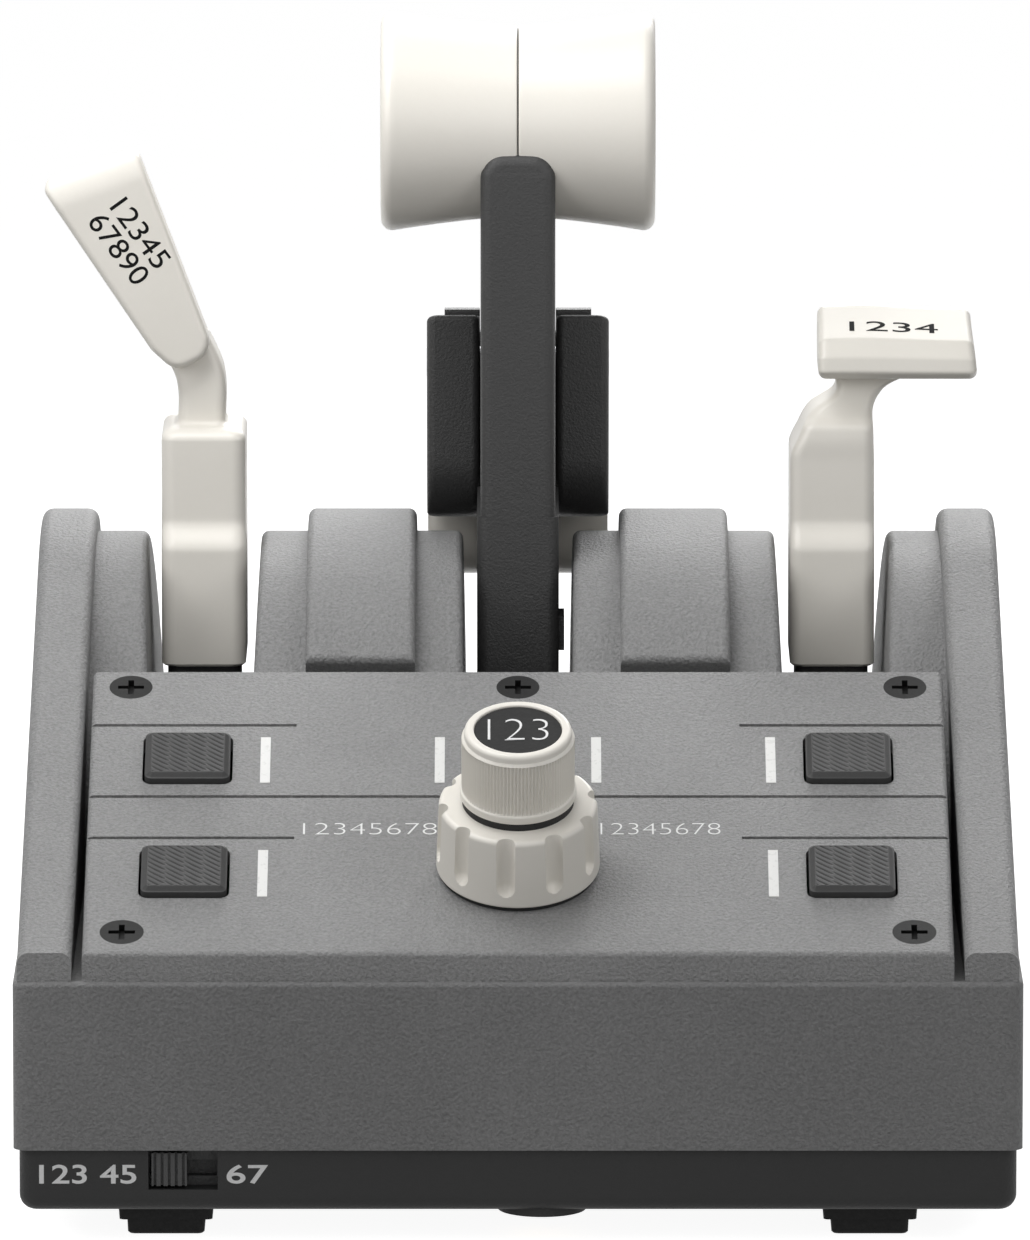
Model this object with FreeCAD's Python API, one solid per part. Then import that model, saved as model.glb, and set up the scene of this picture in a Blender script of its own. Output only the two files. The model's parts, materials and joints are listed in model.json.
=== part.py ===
import FreeCAD, Part
import math
import os

# Desk-top throttle quadrant: a sloped push-button console in front of three tilting levers.
# X runs to the pilot's right, Y away from the pilot, Z up. Millimetres.
# The origin is on the desk, under the middle of the case.

# ---------------------------------------------------------------- driving dimensions
# case
WIDTH = 160.0
FOOT_H = 5.5
TRAY_H = 10.1
HOUSING_H = 27.1
LIP_H = 4.6
LEDGE = 1.0
PIVOT_FROM_FRONT = 132.21
PIVOT_BELOW_DECK = 7.1
CHEEK_R = 60.0
RIDGE_STEP = 3.7
CHEEK_W = 8.6
CHEEK_INSET = 0.7
CHEEK_DRAFT_OUT = 0.4
CHEEK_DRAFT_IN = 1.1
CASE_CORNER_R = 2.5
TRAY_INSET = 0.9
TRAY_CORNER_R = 3.0
WALL = 2.4
FLOOR = 2.5
DECK = 2.5
EDGE_R = 1.3
CHEEK_EDGE_R = 1.8
RIM_H = 2.0

# lever channels and the dividers between them
MID_SLOT_HALF = 9.2
MID_SLOT_TAPER = 0.7
SIDE_SLOT_W = 19.2
SIDE_SLOT_TAPER = 2.4
COVER_RIDGE_W = 9.2
CAP_W = 17.9
CAP_FRONT_ANGLE = 44.5

# console panel
PANEL_LEN = 83.4
PANEL_SIDE_GAP = 1.7
PLATE = 2.6
LIP_T = 2.4
PANEL_EDGE_R = 1.0
BUTTON_INSET = 15.8
ROW_LOW = 23.2
ROW_PITCH = 33.6
BUTTON = 13.5
BUTTON_GAP = 0.5
BUTTON_PROUD = 1.0
BUTTON_R = 1.2
BUTTON_RIM = 1.5
BUTTON_FACE = 0.25
BUTTON_FLANGE = 1.2
BAR_W = 1.6
BAR_LEN = 13.6
BAR_IN_X = 12.6
BAR_FROM_BUTTON = 12.5
BAR_FOOT = 0.8
LINE_W = 0.8
LINE_DEPTH = 0.5
LINE_OVER_ROW = 10.45
LINE_UNDER_HIGH = 10.9
LINE_FROM_BUTTON = 17.4
SCREW_INSET = 6.2
SCREW_LOW_INSET = 6.1
SCREW_HIGH_INSET = 4.6

# rotary selector
KNOB_S = 24.6
DIAL_R = 13.05
DIAL_TOP_R = 12.6
DIAL_H = 12.0
DIAL_GAP = 0.8
FLUTES = 10
FLUTE_R = 1.25
FLUTE_DEPTH = 1.2
FLUTE_STOP_SHARE = 0.22
KNOB_R = 9.0
KNOB_FLANGE_R = 9.25
KNOB_H = 12.3
KNOB_GAP = 1.3
DISC_R = 6.95
DISC_T = 1.0
DISC_SUNK = 0.25
TUBE_R = 4.0
SHAFT_R = 3.0

# levers, measured upwards from the pivot axis
AXLE_R = 3.0
HUB_R = 26.0
HUB_W = 13.0
HUB_FLAT = 14.0
TONGUE_W = 9.0
TONGUE_ROOT = 12.0
STEM_LOW_W = 13.5
STEM_W = 11.8
STEM_DEPTH = 32.4
STEM_STEP_Z = 56.0
STEM_TOP_Z = 122.4
STEM_R = 2.0
STEM_SHOULDER_R = 3.4
STOP_PROUD = 0.9
STOP_Z0 = 39.4
STOP_Z1 = 45.1
GRIP_Z = 125.6
GRIP_LEN = 45.2
GRIP_END_R = 18.0
GRIP_WAIST_R = 15.7
GRIP_SEAM = 0.3
GRIP_EDGE_R = 1.6
CORE_R = 6.0
ARM_W = 12.0
ARM_DEPTH = 18.0
ARM_TONGUE_DEPTH = 14.0
SLEEVE_W = 13.9
SLEEVE_Z0 = 36.3
SLEEVE_BEND_Z = 56.1
SLEEVE_BEND_H = 3.8
SLEEVE_TOP_Z = 77.0
SLEEVE_FRONT = 12.0
SLEEVE_BACK = 11.0
SLEEVE_STEP = 2.4
SLEEVE_R = 1.8
SLEEVE_CREST = 3.0
SLEEVE_FALL = 5.0
NECK_FRONT = 5.5
NECK_BACK = 6.0
NECK_EDGE_R = 1.4
NECK_LEFT = ((-3.7, 75.0), (-3.5, 81.0), (-4.6, 85.5), (-7.0, 92.0))
NECK_RIGHT = ((-1.0, 92.0), (1.4, 88.2), (3.4, 84.4), (3.9, 75.0))
FLAP_SWEEP_LEFT = ((-5.2, 77.5), (-0.8, 82.6), (0.2, 87.0))
FLAP_SWEEP_RIGHT = ((11.8, 87.0), (7.2, 83.4), (5.9, 78.6))
PADDLE_FRONT = 8.5
PADDLE_T = 7.0
PADDLE_R = 1.3
PADDLE_TOP_OUTER = (-25.8, 114.7)
PADDLE_TOP_INNER = (-10.3, 120.3)
PADDLE_ROOT_INNER = (0.7, 91.3)
PADDLE_BEND_INNER = (-0.6, 87.5)
PADDLE_FOOT = (-4.4, 86.4)
PADDLE_BEND_OUTER = (-7.6, 87.0)
PADDLE_ROOT_OUTER = (-9.4, 89.7)
HANDLE_R = 1.2
HANDLE_LEFT = -1.8
HANDLE_RIGHT = 23.8
HANDLE_SECTION = ((1.5, 94.6), (-8.0, 91.2), (-10.8, 86.2), (-9.4, 83.7), (3.0, 83.7), (6.0, 89.5))

# reverse-thrust block and grip on the throttle stem
REV_HALF_W = 15.2
REV_PIN_Y = 22.0
REV_PIN_Z = 82.0
REV_PIN_R = 2.5
REV_FRONT = 14.0
REV_BACK = 36.0
REV_Z0 = 55.8
REV_Z1 = 91.3
REV_ROUND = 2.4
REV_GRIP_R = 7.5
REV_GRIP_TOP = 70.0
REV_GRIP_Y = 46.0
REV_GRIP_Z = 49.6
REV_RIB_H = 0.5
LUG_HALF_W = 5.0
LUG_R = 4.5
LUG_ROOT = 6.0

# fits and clearances
RUN = 0.04
FIT = 0.1
GAP = 0.5
SIDE_GAP = 0.65

# inside
EAR_T = 2.0
EAR_GAP = 1.5
EAR_R = 6.4
EAR_FOOT = 34.0
CLIP_R = 4.3
CLIP_T = 1.0
CLIP_GROOVE = 0.6
BOARD_T = 1.6
BOARD_N = 10.4
THREAD_R = 1.5
HEAD_R = 3.0
HEAD_H = 2.0
CSK_R = 3.5
CSK_H = 2.2
PANEL_SCREW_LEN = 6.5
INSERT_R = 4.0
INSERT_BORE_R = 2.5
INSERT_LEN = 8.0
INSERT_FRONT_X = 3.8
INSERT_SIDE_INSET = 16.0
INSERT_BACK_INSET = 34.0
INSERT_FRONT_INSET = 9.5
BOSS_R = 7.0
BOSS_DROP = 1.2
FOOT_R = 7.7
FOOT_TIP_R = 6.2
FOOT_TIP_H = 3.3
FOOT_SEAT = 0.8
FOOT_SIDE_INSET = 24.0
FOOT_INSET = 16.0

# ---------------------------------------------------------------- derived places
TRAY_Z0 = FOOT_H
TRAY_Z1 = TRAY_Z0 + TRAY_H
FLOOR_Z = TRAY_Z0 + FLOOR
DECK_Z = TRAY_Z1 + HOUSING_H
LIP_Z = DECK_Z + LIP_H
PIVOT_H = DECK_Z - PIVOT_BELOW_DECK
DEPTH = PIVOT_FROM_FRONT + CHEEK_R
FRONT = -DEPTH / 2
BACK = DEPTH / 2
PIVOT_Y = FRONT + PIVOT_FROM_FRONT
LIP_Y = FRONT + LEDGE
# the console's slope runs from the lip to a tangent of the cheek's arc
LIP_TO_PIVOT = math.hypot(PIVOT_Y - LIP_Y, LIP_Z - PIVOT_H)
SLOPE = math.degrees(math.asin(CHEEK_R / LIP_TO_PIVOT) - math.atan2(LIP_Z - PIVOT_H, PIVOT_Y - LIP_Y))
SIN = math.sin(math.radians(SLOPE))
COS = math.cos(math.radians(SLOPE))
PANEL_TOP_Y = LIP_Y + PANEL_LEN * COS
RIDGE_R = CHEEK_R - RIDGE_STEP
RIDGE_FRONT = PANEL_TOP_Y + GAP
TOP_Z = PIVOT_H + CHEEK_R
CHEEK_OUT = WIDTH / 2 - CHEEK_INSET
CHEEK_IN = CHEEK_OUT - CHEEK_W
PANEL_HALF = CHEEK_IN - PANEL_SIDE_GAP
SIDE_SLOT_OUT = CHEEK_IN - COVER_RIDGE_W
SIDE_SLOT_IN = SIDE_SLOT_OUT - SIDE_SLOT_W
LEVER_X = (SIDE_SLOT_IN + SIDE_SLOT_OUT) / 2
DIVIDER_MID = (MID_SLOT_HALF + SIDE_SLOT_IN) / 2
BUTTON_X = PANEL_HALF - BUTTON_INSET
ROW_HIGH = ROW_LOW + ROW_PITCH

V = FreeCAD.Vector
nodes = {}


# ---------------------------------------------------------------- helpers
def box(x0, x1, y0, y1, z0, z1):
    """Axis-aligned block between two corners."""
    return Part.makeBox(x1 - x0, y1 - y0, z1 - z0, V(x0, y0, z0))


def rod_x(x0, x1, y, z, r):
    """Cylinder along X."""
    return Part.makeCylinder(r, x1 - x0, V(x0, y, z), V(1, 0, 0))


def rod_y(x, y0, y1, z, r):
    """Cylinder along Y."""
    return Part.makeCylinder(r, y1 - y0, V(x, y0, z), V(0, 1, 0))


def rod_z(x, y, z0, z1, r):
    """Cylinder along Z."""
    return Part.makeCylinder(r, z1 - z0, V(x, y, z0), V(0, 0, 1))


def outline(start, *steps):
    """Closed face from a start point; a step is a point, or (middle, end) of an arc."""
    edges = []
    here = start
    for step in steps:
        if isinstance(step, tuple):
            edges.append(Part.Arc(here, step[0], step[1]).toShape())
            here = step[1]
        else:
            edges.append(Part.makeLine(here, step))
            here = step
    if (here - start).Length > 1e-6:
        edges.append(Part.makeLine(here, start))
    return Part.Face(Part.Wire(edges))


def across(face, x0, x1):
    """Prism of a face drawn at X = 0, from x0 to x1."""
    moved = face.copy()
    moved.translate(V(x0, 0, 0))
    return moved.extrude(V(x1 - x0, 0, 0))


def yz(y, z):
    """Point in the side view."""
    return V(0, y, z)


def around_pivot(r, angle):
    """Side-view point at radius r; the angle is from upright, positive towards the pilot."""
    a = math.radians(angle)
    return yz(PIVOT_Y - r * math.sin(a), PIVOT_H + r * math.cos(a))


def drafted_slab(low, high):
    """Slab along Y whose X limits run from low = (x0, x1) at the deck to high = (x0, x1) at the top."""
    y = FRONT - 10
    face = outline(V(low[0], y, DECK_Z), V(low[1], y, DECK_Z), V(high[1], y, TOP_Z), V(high[0], y, TOP_Z))
    return face.extrude(V(0, DEPTH + 20, 0))


def rounded(shape, radius, pick):
    """Fillet every edge whose bounding box passes pick."""
    return shape.makeFillet(radius, [e for e in shape.Edges if pick(e.BoundBox)])


def joined(*shapes):
    """One clean solid out of touching ones."""
    return shapes[0].fuse(list(shapes[1:])).removeSplitter()


def group(shapes):
    """Separate solids that share one node."""
    return Part.makeCompound(list(shapes))


def mirrored(shape):
    """The same piece on the other side of the YZ plane."""
    return shape.mirror(V(0, 0, 0), V(1, 0, 0))


def on_panel(shape):
    """Place a piece drawn flat (X, distance up the slope, height over it) on the console."""
    tilt = FreeCAD.Rotation(V(1, 0, 0), SLOPE)
    placed = shape.copy()
    placed.Placement = FreeCAD.Placement(V(0, LIP_Y, LIP_Z), tilt).multiply(shape.Placement)
    return placed


def on_lever(shape, x):
    """Place a piece drawn about the pivot axis at the lever in channel x."""
    placed = shape.copy()
    placed.translate(V(x, PIVOT_Y, PIVOT_H))
    return placed


def soft_block(x0, x1, y0, y1, z0, z1, radius):
    """Block with its four upright edges rounded."""
    block = box(x0, x1, y0, y1, z0, z1)
    return rounded(block, radius, lambda b: b.ZLength > (z1 - z0) - 1e-3)


def countersunk(length, r=THREAD_R):
    """Cross-recess countersunk screw, head face at Z = 0, pointing down."""
    head = Part.makeCone(CSK_R, r, CSK_H, V(0, 0, 0), V(0, 0, -1))
    shank = Part.makeCylinder(r, length - CSK_H, V(0, 0, -CSK_H), V(0, 0, -1))
    arm = CSK_R * 0.6
    slot = arm * 0.22
    cross = joined(box(-arm, arm, -slot, slot, -CSK_H / 2, 1), box(-slot, slot, -arm, arm, -CSK_H / 2, 1))
    return joined(head, shank).cut(cross)


def pan_screw(x, y, z, length):
    """Pan-head screw driven upwards, with the underside of its head at z."""
    head = rod_z(x, y, z - HEAD_H, z, HEAD_R)
    drive = rod_z(x, y, z - HEAD_H, z - HEAD_H / 2, HEAD_R * 0.4)
    return joined(head, rod_z(x, y, z, z + length, THREAD_R)).cut(drive)


# ---------------------------------------------------------------- side-view outlines
def cheek_outline(inset=0.0):
    """Lip, slope, and the arc about the pivot down to the deck."""
    r = CHEEK_R - inset
    front = LIP_Y + inset
    low = DECK_Z - (1.0 if inset else 0.0)
    tangent = around_pivot(r, SLOPE)
    lip = yz(front, tangent.z - (tangent.y - front) * SIN / COS)
    drop = low - PIVOT_H
    back = yz(PIVOT_Y + math.sqrt(r * r - drop * drop), low)
    return outline(yz(front, low), lip, tangent, (around_pivot(r, -20), back))


def ridge_arch(x0, x1, inset=0.0):
    """Lower arch that lines the lever channels, from x0 to x1; it starts behind the console."""
    r = RIDGE_R - inset
    low = DECK_Z - (1.0 if inset else 0.0)
    half = math.sqrt(r * r - (low - PIVOT_H) ** 2)
    arch = outline(yz(PIVOT_Y - half, low), (around_pivot(r, 0), yz(PIVOT_Y + half, low)))
    return across(arch, x0, x1).common(box(x0 - 1, x1 + 1, RIDGE_FRONT + inset, PIVOT_Y + r, low, TOP_Z))


# ---------------------------------------------------------------- screw places
BASE_SCREW_X = WIDTH / 2 - WALL - HEAD_R
BASE_SCREW_Y = (FRONT + 12.0, FRONT + DEPTH * 0.52, BACK - 12.0)
BASE_SCREWS = [(s * BASE_SCREW_X, y) for s in (-1, 1) for y in BASE_SCREW_Y]
DECK_BOSS_R = 3.5
DECK_BOSS_H = 12.0
DIVIDER_SCREW_Y = (PIVOT_Y - 40.0, PIVOT_Y + 40.0)
COVER_SCREW_X = CHEEK_IN - 4.2


# ---------------------------------------------------------------- base
def tray_outer():
    """Outside of the base tray, with its bottom edges rounded."""
    half = WIDTH / 2 - TRAY_INSET
    block = soft_block(-half, half, FRONT + TRAY_INSET, BACK - TRAY_INSET, TRAY_Z0, TRAY_Z1, TRAY_CORNER_R)
    return rounded(block, TRAY_CORNER_R * 0.8, lambda b: b.ZMax < TRAY_Z0 + 1e-3)


MODE_X0 = 21.4 - WIDTH / 2
MODE_X1 = MODE_X0 + 11.0
MODE_Z0 = TRAY_Z0 + 3.6
MODE_SLIDER_W = 5.6
BALLAST_HALF = WIDTH / 2 - 34.0
BALLAST_Y = (FRONT + 12.0, FRONT + 84.0)
BALLAST_T = 6.0
BALLAST_PEG_R = 2.0
BALLAST_PEG_INSET = 8.0
MAIN_HALF = 40.0
MAIN_POST_R = 2.6
PEG_R = 1.2
POSTS_MAIN = [(s * (MAIN_HALF - 6.0), BACK - y) for s in (-1, 1) for y in (12.0, 24.0)]
MAIN_Z = FLOOR_Z + 6.0
USB_HALF = 5.6
USB_RISE = 4.4


def insert_places():
    """Mounting inserts: one at the front, two at the back."""
    rear = BACK - INSERT_BACK_INSET
    side = WIDTH / 2 - INSERT_SIDE_INSET
    return [(INSERT_FRONT_X, FRONT + INSERT_FRONT_INSET), (-side, rear), (side, rear)]


def base_tray():
    """Black tray that closes the case from below and carries everything inside."""
    half = WIDTH / 2 - TRAY_INSET - WALL
    front = FRONT + TRAY_INSET + WALL
    back = BACK - TRAY_INSET - WALL
    tray = tray_outer().cut(box(-half, half, front, back, FLOOR_Z, TRAY_Z1 + 1))
    rim = box(-half - 0.01, half + 0.01, front - 0.01, back + 0.01, FLOOR_Z, TRAY_Z1 + RIM_H)
    rim = rim.cut(box(-half + 1.2, half - 1.2, front + 1.2, back - 1.2, FLOOR_Z - 1, TRAY_Z1 + RIM_H + 1))
    tray = joined(tray, rim)
    for x, y in insert_places():
        low = TRAY_Z0 - (BOSS_DROP if y < 0 else 0.0)
        tray = tray.fuse(rod_z(x, y, low, low + INSERT_LEN + 2.0, BOSS_R))
        tray = tray.cut(rod_z(x, y, low - 1, low + INSERT_LEN, INSERT_R))
    for x, y in BASE_SCREWS:
        tray = tray.cut(rod_z(x, y, TRAY_Z0 - 1, FLOOR_Z + RIM_H + 20, THREAD_R))
        tray = tray.cut(rod_z(x, y, TRAY_Z0 - 1, TRAY_Z0 + HEAD_H / 2, HEAD_R))
        tray = tray.cut(rod_z(x, y, FLOOR_Z, TRAY_Z1 + RIM_H + 1, DECK_BOSS_R + FIT))
    tray = tray.cut(box(MODE_X0, MODE_X1, FRONT - 1, front + 2, MODE_Z0, TRAY_Z1 + RIM_H + 1))
    for x, y in POSTS_MAIN:
        tray = tray.fuse(rod_z(x, y, FLOOR_Z, MAIN_Z, MAIN_POST_R))
        tray = tray.fuse(rod_z(x, y, MAIN_Z, MAIN_Z + BOARD_T + 0.6, PEG_R))
    for x, y in ballast_pegs():
        tray = tray.fuse(rod_z(x, y, FLOOR_Z, FLOOR_Z + BALLAST_T + 0.8, BALLAST_PEG_R))
    for x, y in foot_places():
        tray = tray.cut(rod_z(x, y, TRAY_Z0 - 1, TRAY_Z0 + FOOT_SEAT, FOOT_R))
    usb = box(-USB_HALF, USB_HALF, BACK - 8, BACK + 1, MAIN_Z + BOARD_T - 0.6, TRAY_Z1 + RIM_H + 1)
    return tray.cut(usb).removeSplitter()


def ballast_pegs():
    """Pegs on the tray that the ballast plate is pushed over."""
    x = BALLAST_HALF - BALLAST_PEG_INSET
    ys = (BALLAST_Y[0] + BALLAST_PEG_INSET, BALLAST_Y[1] - BALLAST_PEG_INSET)
    return [(side * x, y) for side in (-1, 1) for y in ys]


def ballast_plate():
    """Steel plate that keeps the case on the desk when a lever is pushed."""
    top = FLOOR_Z + BALLAST_T
    plate = soft_block(-BALLAST_HALF, BALLAST_HALF, BALLAST_Y[0], BALLAST_Y[1], FLOOR_Z, top, 3.0)
    for x, y in ballast_pegs():
        plate = plate.cut(rod_z(x, y, FLOOR_Z - 1, top + 1, BALLAST_PEG_R + FIT))
    for x, y in insert_places():
        plate = plate.cut(rod_z(x, y, FLOOR_Z - 1, top + 1, BOSS_R + GAP))
    return plate


def foot_places():
    """Four feet near the corners."""
    x = WIDTH / 2 - FOOT_SIDE_INSET
    return [(sx * x, sy * (DEPTH / 2 - FOOT_INSET)) for sx in (-1, 1) for sy in (-1, 1)]


def rubber_feet():
    """Two-step rubber feet let into the tray."""
    feet = []
    for x, y in foot_places():
        pad = rod_z(x, y, FOOT_TIP_H, TRAY_Z0 + FOOT_SEAT, FOOT_R)
        tip = rounded(rod_z(x, y, 0, FOOT_TIP_H, FOOT_TIP_R), 0.6, lambda b: b.ZMax < 0.01)
        feet.append(joined(pad, tip))
    return group(feet)


def threaded_inserts():
    """Brass bushes with a thread, one in each mounting boss."""
    bushes = []
    for x, y in insert_places():
        low = TRAY_Z0 - (BOSS_DROP if y < 0 else 0.0)
        bushes.append(rod_z(x, y, low, low + INSERT_LEN, INSERT_R).cut(
            rod_z(x, y, low - 1, low + INSERT_LEN + 1, INSERT_BORE_R)))
    return group(bushes)


def base_screws():
    """Screws that pull the tray up against the housing."""
    return group(pan_screw(x, y, TRAY_Z0 + HEAD_H / 2, 14.0) for x, y in BASE_SCREWS)


# ---------------------------------------------------------------- lower housing
def deck_screw_places():
    """Screws through the deck into the dividers, covers and console frame."""
    dividers = [(s * DIVIDER_MID, y) for s in (-1, 1) for y in DIVIDER_SCREW_Y]
    covers = [(s * COVER_SCREW_X, y) for s in (-1, 1) for y in DIVIDER_SCREW_Y]
    return dividers + covers


def lower_housing():
    """Grey band with a deck on top: the dividers, covers and console frame stand on the deck."""
    half = WIDTH / 2
    body = soft_block(-half, half, FRONT, BACK, TRAY_Z1, DECK_Z, CASE_CORNER_R)
    body = rounded(body, 0.8, lambda b: b.ZMin > DECK_Z - 1e-3)
    body = body.cut(box(-half + WALL, half - WALL, FRONT + WALL, BACK - WALL, TRAY_Z1 - 1, DECK_Z - DECK))
    well_half = PANEL_HALF - WALL - 2.0
    well_y0, well_y1 = FRONT + 6.0, PANEL_TOP_Y - 4.0
    body = body.cut(box(-well_half, well_half, well_y0, well_y1, DECK_Z - DECK - 1, DECK_Z + 1))
    reach = HUB_R + 1.0
    slot_half = HUB_W / 2 + EAR_GAP + EAR_T + GAP
    for x in (-LEVER_X, 0.0, LEVER_X):
        body = body.cut(box(x - slot_half, x + slot_half, PIVOT_Y - reach, PIVOT_Y + reach,
                            DECK_Z - DECK - 1, DECK_Z + 1))
    for x, y in BASE_SCREWS:
        body = body.fuse(rod_z(x, y, FLOOR_Z, DECK_Z - DECK, DECK_BOSS_R))
    for x, y in BASE_SCREWS:
        body = body.cut(rod_z(x, y, FLOOR_Z - 1, FLOOR_Z + 16.0, THREAD_R))
    for x, y in deck_screw_places():
        body = body.cut(rod_z(x, y, DECK_Z - DECK - 1, DECK_Z + 1, THREAD_R))
    window = box(-USB_HALF, USB_HALF, BACK - WALL - 1, BACK + 1, TRAY_Z1 - 1, MAIN_Z + BOARD_T + USB_RISE)
    return body.cut(window).removeSplitter()


# ---------------------------------------------------------------- upper shells
def with_pillars(shell, solid, x):
    """Add a screw pillar at each screw, from the deck up to the roof of a shell."""
    for y in DIVIDER_SCREW_Y:
        shell = shell.fuse(rod_z(x, y, DECK_Z, TOP_Z, DECK_BOSS_R).common(solid))
    for y in DIVIDER_SCREW_Y:
        shell = shell.cut(rod_z(x, y, DECK_Z - 1, DECK_Z + DECK_BOSS_H, THREAD_R))
    return shell.removeSplitter()


def side_cover():
    """Right-hand cheek with the lower ridge that lines the lever channel; mirrored for the left."""
    out = CHEEK_OUT
    cheek = across(cheek_outline(), CHEEK_IN - 5, out + 5)
    cheek = cheek.common(drafted_slab((CHEEK_IN, out), (CHEEK_IN - CHEEK_DRAFT_IN, out - CHEEK_DRAFT_OUT)))
    lean = CHEEK_DRAFT_IN + 0.1
    cheek = rounded(cheek, CHEEK_EDGE_R,
                    lambda b: b.XLength < lean and b.ZMax > LIP_Z + 1 and b.YLength > 10)
    seam = CHEEK_IN + WALL / 2
    ridge = ridge_arch(SIDE_SLOT_OUT - 10, seam)
    low = SIDE_SLOT_OUT - SIDE_SLOT_TAPER
    ridge = ridge.common(drafted_slab((low, seam), (SIDE_SLOT_OUT, seam)))
    ridge = rounded(ridge, EDGE_R, lambda b: b.ZMax > DECK_Z + 20 and b.XMax < seam - 1 and b.YLength > 20)
    cover = joined(cheek, ridge)
    room = across(cheek_outline(WALL), CHEEK_IN + WALL, out - WALL - CHEEK_DRAFT_OUT)
    under = ridge_arch(SIDE_SLOT_OUT + WALL, CHEEK_IN + WALL + 0.5, WALL)
    return with_pillars(cover.cut(room).cut(under), ridge, COVER_SCREW_X)


def divider():
    """Right-hand ridge between the middle and the side channel; mirrored for the left."""
    low = (MID_SLOT_HALF - MID_SLOT_TAPER, SIDE_SLOT_IN + SIDE_SLOT_TAPER)
    high = (MID_SLOT_HALF, SIDE_SLOT_IN)
    ridge = ridge_arch(low[0] - 5, low[1] + 5).common(drafted_slab(low, high))
    ridge = rounded(ridge, EDGE_R, lambda b: b.ZMax > DECK_Z + 20 and b.XLength < 4 and b.YLength > 20)
    room = ridge_arch(MID_SLOT_HALF + WALL, SIDE_SLOT_IN - WALL, WALL)
    return with_pillars(ridge.cut(room), ridge, DIVIDER_MID)


def divider_cap():
    """Raised arched block on the divider, ending in a round nose above the console."""
    drop_out = math.degrees(math.acos((DECK_Z - PIVOT_H) / CHEEK_R))
    drop_in = math.degrees(math.acos((DECK_Z - PIVOT_H) / RIDGE_R))
    nose = CAP_FRONT_ANGLE
    face = outline(around_pivot(RIDGE_R, nose), around_pivot(CHEEK_R, nose),
                   (around_pivot(CHEEK_R, 0), around_pivot(CHEEK_R, -drop_out)),
                   around_pivot(RIDGE_R, -drop_in),
                   (around_pivot(RIDGE_R, 0), around_pivot(RIDGE_R, nose)))
    cap = across(face, DIVIDER_MID - CAP_W / 2, DIVIDER_MID + CAP_W / 2)
    top_edges = [e for e in cap.Edges if min(distance_to_axis(v.Point) for v in e.Vertexes) > CHEEK_R - 0.01
                 and e.BoundBox.ZMax > DECK_Z + 1]
    return cap.makeFillet(EDGE_R, top_edges)


def distance_to_axis(p):
    """Distance of a point from the lever pivot axis."""
    return math.hypot(p.y - PIVOT_Y, p.z - PIVOT_H)


# ---------------------------------------------------------------- console
def console_outline():
    """Wedge under the panel plate."""
    front = LIP_Y + LIP_T
    return outline(yz(front, DECK_Z), yz(front, slope_z(front) - PLATE / COS),
                   yz(PANEL_TOP_Y, slope_z(PANEL_TOP_Y) - PLATE / COS), yz(PANEL_TOP_Y, DECK_Z))


SCREW_X = PANEL_HALF - SCREW_INSET
SCREW_TOP = PANEL_LEN - SCREW_HIGH_INSET
PANEL_SCREWS = [(-SCREW_X, SCREW_LOW_INSET), (SCREW_X, SCREW_LOW_INSET), (-SCREW_X, SCREW_TOP),
                (0.0, SCREW_TOP), (SCREW_X, SCREW_TOP)]
BOARD_X = PANEL_HALF - 9.0
BOARD_S0 = ROW_LOW - 10.2
BOARD_S1 = ROW_HIGH + 13.2
BOARD_POSTS = [(sx * BOARD_X / 2, s) for sx in (-1, 1) for s in (BOARD_S0 + 5.0, BOARD_S1 - 4.0)]
BUTTONS = {"button_upper_left": (-BUTTON_X, ROW_HIGH), "button_upper_right": (BUTTON_X, ROW_HIGH),
           "button_lower_left": (-BUTTON_X, ROW_LOW), "button_lower_right": (BUTTON_X, ROW_LOW)}
BAR_OUT_X = BUTTON_X - BAR_FROM_BUTTON
BARS = [(-BAR_OUT_X, ROW_HIGH), (-BAR_IN_X, ROW_HIGH), (BAR_IN_X, ROW_HIGH), (BAR_OUT_X, ROW_HIGH),
        (-BAR_OUT_X, ROW_LOW), (BAR_OUT_X, ROW_LOW)]
LINE_END_X = BUTTON_X - LINE_FROM_BUTTON
LINES_SHORT = (ROW_LOW + LINE_OVER_ROW, ROW_HIGH + LINE_OVER_ROW)
LINE_LONG = ROW_HIGH - LINE_UNDER_HIGH


def slope_z(y):
    """Height of the console's face at y."""
    return LIP_Z + (y - LIP_Y) * SIN / COS


def flat_box(x0, x1, s0, s1, n0, n1):
    """Block drawn on the console's flat frame and placed on the slope."""
    return on_panel(box(x0, x1, s0, s1, n0, n1))


def flat_rod(x, s, n0, n1, r):
    """Cylinder square to the console."""
    return on_panel(rod_z(x, s, n0, n1, r))


def panel_frame():
    """Four-walled frame under the panel, with a boss for each panel screw."""
    half = PANEL_HALF - 1.5
    outer = across(console_outline(), -half, half)
    front = LIP_Y + LIP_T + WALL
    room = box(-half + WALL, half - WALL, front, PANEL_TOP_Y - WALL, DECK_Z - 1, TOP_Z)
    frame = outer.cut(room)
    for x, s in PANEL_SCREWS:
        boss = flat_rod(x, s, -PLATE - 14.0, -PLATE, DECK_BOSS_R).common(outer)
        frame = frame.fuse(boss)
    for x, s in PANEL_SCREWS:
        frame = frame.cut(flat_rod(x, s, -PANEL_SCREW_LEN, 1, THREAD_R))
    return frame.removeSplitter()


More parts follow.
